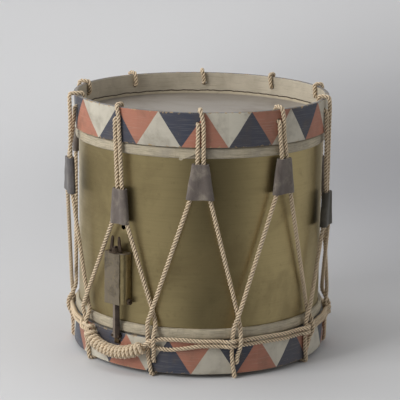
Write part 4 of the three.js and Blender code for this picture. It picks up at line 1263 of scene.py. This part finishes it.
def build_puller():
    """A threaded spindle over a ridged strap, with the clamp that holds the snares."""
    clamp = sizes().hoop_radius + GAP
    back = clamp + 0.0034
    foot, top = span("snare_puller")
    foot_top = foot + 0.008
    thread_foot = top - SPINDLE_LENGTH
    half, narrow = 0.006, 0.0052
    profile = [(-half, back), (-half, back + 0.0012), (-half * 0.3, back + 0.0027)]
    profile += [(0.0076, back + 0.0009), (0.0076, back)]
    strap = upright(profile, foot_top - 0.001, thread_foot + 0.006 - foot_top + 0.001)
    aside = at(STRAINER_TURN, 1, 0, 0)
    for vertex in strap.verts:
        if vertex.co.z > foot_top:
            vertex.co -= aside * vertex.co.dot(aside) * (1 - narrow / half)
    softened(strap, 0.0004, 2, 8)
    ridge = 0.0028
    outline = [(0.0001, thread_foot), (ridge, thread_foot), (ridge, top - 0.055)]
    place = thread_foot + 0.008
    while place < top - 0.0008:
        outline += [(ridge * 0.86, place), (0.003, place + 0.0004)]
        place += 0.0008
    outline += [(ridge * 0.8, top), (0.0001, top)]
    rod = moved(turned(outline, 24), at(STRAINER_TURN, 0, back + 0.0012, 0))

    def clamp_plate(inner, outer):
        """A plate with its corners cut off."""
        cut, wide = 0.0028, 0.00825
        corners = [(-wide, foot + cut), (-wide + cut, foot), (wide - cut, foot), (wide, foot + cut)]
        corners += [(wide, foot_top - cut), (wide - cut, foot_top)]
        corners += [(-wide + cut, foot_top), (-wide, foot_top - cut)]
        places = [at(STRAINER_TURN, across, inner, height) for across, height in corners]
        return softened(drawn(places, at(STRAINER_TURN, 0, outer - inner, 0)), 0.0004, 2, 40)

    whole = joined(strap, rod, clamp_plate(back, back + 0.002))
    material = finish("Strap Metal", strap_metal_painted_light)
    settle("snare_strap", whole, material, "puller", ["snare_puller"], "old_iron", 40)
    iron("clamp_plate", clamp_plate(clamp, clamp + 0.0012), "puller", "snare_clamp_plate")
    for side, across in (("left", -0.0061), ("right", 0.0061)):
        place = (STRAINER_TURN, across, back + 0.0023, (foot + foot_top) / 2)
        head = screw(*place, 0.002, 0.001, 0.0012, -0.0056)
        iron("clamp_screw_" + side, head, "puller", "snare_clamp_screw_" + side)


def build_strainer():
    build_housing()
    build_wing_nut()
    build_puller()
    place = (STRAINER_TURN, sizes().shell_radius + 0.0063, 0.0203, low("strainer_housing").z + 0.0055)
    side = screw(*place, 0.0045, 0.0045, 0.002, -0.0072, sideways=True)
    iron("side_screw", side, ROOT, "strainer_side_screw")
    inner = sizes().hoop_radius + 0.0022
    foot, top = span("snare_butt_plate")
    outline = rounded(oblong(-0.017, 0.017, foot, top), [0.003] * 4, 5)
    places = [at(BUTT_TURN, across, inner, height) for across, height in outline]
    plate = softened(drawn(places, at(BUTT_TURN, 0, 0.002, 0)), 0.0005, 3, 40)
    settle("butt_plate", plate, old_brass(), ROOT, ["snare_butt_plate"], "old_brass", 40)
    for name, across in (("left", -0.012), ("right", 0.012)):
        place = (BUTT_TURN, across, inner + 0.0023, (foot + top) / 2)
        head = screw(*place, 0.004, 0.002, 0.002, -0.0042)
        iron("butt_screw_" + name, head, ROOT, "snare_butt_screw_" + name)
    # The mounting screws and nuts keep their CAD shapes.
    for kind in ("strainer_screw_", "strainer_screw_nut_"):
        for name in ("upper", "lower"):
            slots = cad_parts[kind + name].data.materials
            slots.clear()
            slots.append(old_brass())


def build_snares():
    radius = sizes().gut / 2
    hoop = sizes().hoop_radius
    clamp_out = hoop + 0.0018 + radius
    butt_out = hoop + GAP + radius
    level = low("snare_head").z - GAP - radius
    clamp_turn = high("snares").z - radius
    butt_turn = low("snares").z + radius
    routes = []
    for count in range(4):
        ways = (
            (clamp_out, clamp_turn - radius),
            (clamp_out, level + 0.0016),
            (clamp_out - 0.0016, level),
            (0.09, level),
            (-0.09, level),
            (-(butt_out - 0.0016), level),
            (-butt_out, level - 0.0016),
            (-butt_out, butt_turn + radius),
        )
        across = (count - 1.5) * GUT_PITCH
        routes.append(eased([at(STRAINER_TURN, across, *way) for way in ways], 0.001))
    # The gut turns round at the butt plate twice and at the clamp once.
    for start, out, height, dip in (
        (0, -butt_out, butt_turn, -0.0006),
        (2, -butt_out, butt_turn, -0.0006),
        (1, clamp_out, clamp_turn, 0.0006),
    ):
        route = []
        for step in range(7):
            across = (start - 1.5) * GUT_PITCH + GUT_PITCH * step / 6
            route.append(at(STRAINER_TURN, across, out, height + dip * math.sin(math.pi * step / 6)))
        routes.append(route)
    material = finish("Aged Gut", aged_gut)
    snares = cord("gut_snares", routes, material, radius, ["snares"], "gut", spacing=0.0016)
    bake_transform(snares)


def build_floor():
    material = finish("Studio Floor", floor)
    # A camera behind the backdrop sees through it.
    tree = material.node_tree
    clear = put("BsdfTransparent", {}, tree)[0]
    behind = put("NewGeometry", {}, tree)["Backfacing"]
    both = put("MixShader", {0: behind, 1: tree.nodes["Principled BSDF"].outputs[0], 2: clear})
    feed(tree.nodes["Material Output"].inputs, {0: both[0]})
    bm = bmesh.new()
    corners = [Vector(c) for c in ((-9, -7, 0), (-9, 2.2, 0), (-9, 3.4, 1.2), (-9, 3.4, 5))]
    rail = [bm.verts.new(point) for point in eased(corners, 1.0)]
    extruded(bm, [bm.edges.new(pair) for pair in zip(rail, rail[1:])], (18, 0, 0))
    bmesh.ops.recalc_face_normals(bm, faces=bm.faces)
    # The widest face is the level floor. The faces' order isn't the same in each run.
    if max(bm.faces, key=lambda face: face.calc_area()).normal.z < 0:
        bmesh.ops.reverse_faces(bm, faces=bm.faces)
    mesh = mesh_of("studio_floor", bm)
    mesh.shade_smooth()
    mesh.materials.append(material)
    piece = linked("studio_floor", mesh)
    piece.visible_glossy = False


def build_stage():
    build_floor()
    world = bpy.data.worlds.new("Studio")
    world.use_nodes = True
    tree = world.node_tree
    # A wide soft window at the left of the camera, a dark gap, and a paler wall at the right.
    turn = times(turning(parts(put("TexCoord", {}, tree)["Generated"])), 180 / math.pi)
    window = stretch(turn, 6, -34, 0.44)
    wall = times(stretch(turn, 24, 60, 0.42), stretch(turn, 160, 110))
    behind = plus(stretch(turn, -138, -152), stretch(turn, 154, 168))
    level = plus(plus(window, wall), plus(behind, 0.04))
    light = put("CombineColor", {0: level, 1: level, 2: level})[0]
    feed(tree.nodes["Background"].inputs, {"Color": light, "Strength": 1.0})
    scene = bpy.context.scene
    scene.world = world
    for name, place, size, power in (
        ("key", (-1.9, -1.35, 1.4), (1.2, 1.6), 44),
        ("side", (-2.2, 0.6, 1.2), (1.2, 2.0), 9),
        ("fill", (2.4, -0.2, 1.0), (1.2, 2.2), 6),
        ("top", (-0.4, 0.2, 3.0), (2.0, 2.0), 18),
    ):
        light = bpy.data.lights.new(name, "AREA")
        light.shape = "RECTANGLE"
        light.size, light.size_y = size
        light.energy = power
        lamp = linked(name, light)
        lamp.location = place
        aim = Vector((0, 0, 0.2)) - Vector(place)
        lamp.rotation_euler = aim.to_track_quat("-Z", "Y").to_euler()
        lamp.visible_glossy = False

    # The pinhole camera that was fitted to the photo, whose focal length is in its pixels.
    lens = bpy.data.cameras.new("camera")
    lens.sensor_width = 36
    lens.lens = 36 * 1667.56 / 400
    scene.camera = linked("camera", lens)
    tilt = Matrix.Rotation(math.pi / 2 - 0.2258, 4, "X")
    roll = Matrix.Rotation(0.0136, 4, "Z")
    scene.camera.matrix_world = Matrix.Translation((0, -2.5613, 0.81642)) @ tilt @ roll
    scene.view_settings.view_transform = "Standard"


# Operators


class DRUM_OT_shell(bpy.types.Operator):
    """Builds the sheet brass shell with its turned edges and its air vent"""

    bl_idname = "drum.shell"
    bl_label = "Brass Shell"

    def execute(self, context):
        build_shell()
        return {"FINISHED"}


class DRUM_OT_heads(bpy.types.Operator):
    """Builds both skins, the upper one with its ragged edge"""

    bl_idname = "drum.heads"
    bl_label = "Heads"

    def execute(self, context):
        build_heads()
        return {"FINISHED"}


class DRUM_OT_flesh_hoops(bpy.types.Operator):
    """Builds both flesh hoops with the skin lapped round them"""

    bl_idname = "drum.flesh_hoops"
    bl_label = "Flesh Hoops"

    def execute(self, context):
        build_flesh_hoops()
        return {"FINISHED"}


class DRUM_OT_counterhoops(bpy.types.Operator):
    """Builds both painted counterhoops with their rope holes and snare gates"""

    bl_idname = "drum.counterhoops"
    bl_label = "Counterhoops"

    def execute(self, context):
        build_counterhoops()
        return {"FINISHED"}


class DRUM_OT_tension_rope(bpy.types.Operator):
    """Lays the tension rope through the hoops and the tugs"""

    bl_idname = "drum.tension_rope"
    bl_label = "Tension Rope"

    def execute(self, context):
        build_tension_rope()
        return {"FINISHED"}


class DRUM_OT_surplus_rope(bpy.types.Operator):
    """Lays the surplus rope round the lower counterhoop and winds its tail"""

    bl_idname = "drum.surplus_rope"
    bl_label = "Surplus Rope"

    def execute(self, context):
        build_surplus_rope()
        return {"FINISHED"}


class DRUM_OT_tugs(bpy.types.Operator):
    """Folds the ten leather tugs round their strands"""

    bl_idname = "drum.tugs"
    bl_label = "Leather Tugs"

    def execute(self, context):
        build_tugs()
        return {"FINISHED"}


class DRUM_OT_strainer(bpy.types.Operator):
    """Builds the snare strainer: folded housing, wing nut, puller, clamp and screws"""

    bl_idname = "drum.strainer"
    bl_label = "Snare Strainer"

    def execute(self, context):
        build_strainer()
        return {"FINISHED"}


class DRUM_OT_snares(bpy.types.Operator):
    """Strings the gut snares under the lower head"""

    bl_idname = "drum.snares"
    bl_label = "Snares"

    def execute(self, context):
        build_snares()
        return {"FINISHED"}


class DRUM_OT_stage(bpy.types.Operator):
    """Sets the floor, the backdrop, the lamps and the camera"""

    bl_idname = "drum.stage"
    bl_label = "Stage"

    def execute(self, context):
        build_stage()
        return {"FINISHED"}


STEPS = (
    DRUM_OT_shell,
    DRUM_OT_heads,
    DRUM_OT_flesh_hoops,
    DRUM_OT_counterhoops,
    DRUM_OT_tension_rope,
    DRUM_OT_surplus_rope,
    DRUM_OT_tugs,
    DRUM_OT_strainer,
    DRUM_OT_snares,
    DRUM_OT_stage,
)


class DRUM_PT_panel(bpy.types.Panel):
    """Lists the drum's pieces in the sidebar"""

    bl_label = "Field Drum"
    bl_idname = "DRUM_PT_panel"
    bl_space_type = "VIEW_3D"
    bl_region_type = "UI"
    bl_category = "Drum"

    def draw(self, context):
        for step in STEPS:
            self.layout.operator(step.bl_idname)
        for held in (sizes(), tones()):
            box = self.layout.box()
            for key in held.__annotations__:
                box.prop(held, key)


CLASSES = (DrumSizes, DrumColours, *STEPS, DRUM_PT_panel)


def register():
    for each in CLASSES:
        bpy.utils.register_class(each)
    bpy.types.Scene.drum_sizes = bpy.props.PointerProperty(type=DrumSizes)
    bpy.types.Scene.drum_colours = bpy.props.PointerProperty(type=DrumColours)


def unregister():
    del bpy.types.Scene.drum_colours
    del bpy.types.Scene.drum_sizes
    for each in reversed(CLASSES):
        bpy.utils.unregister_class(each)


def main():
    register()
    for step in STEPS:
        space, call = step.bl_idname.split(".")
        getattr(getattr(bpy.ops, space), call)()


if __name__ == "__main__":
    main()
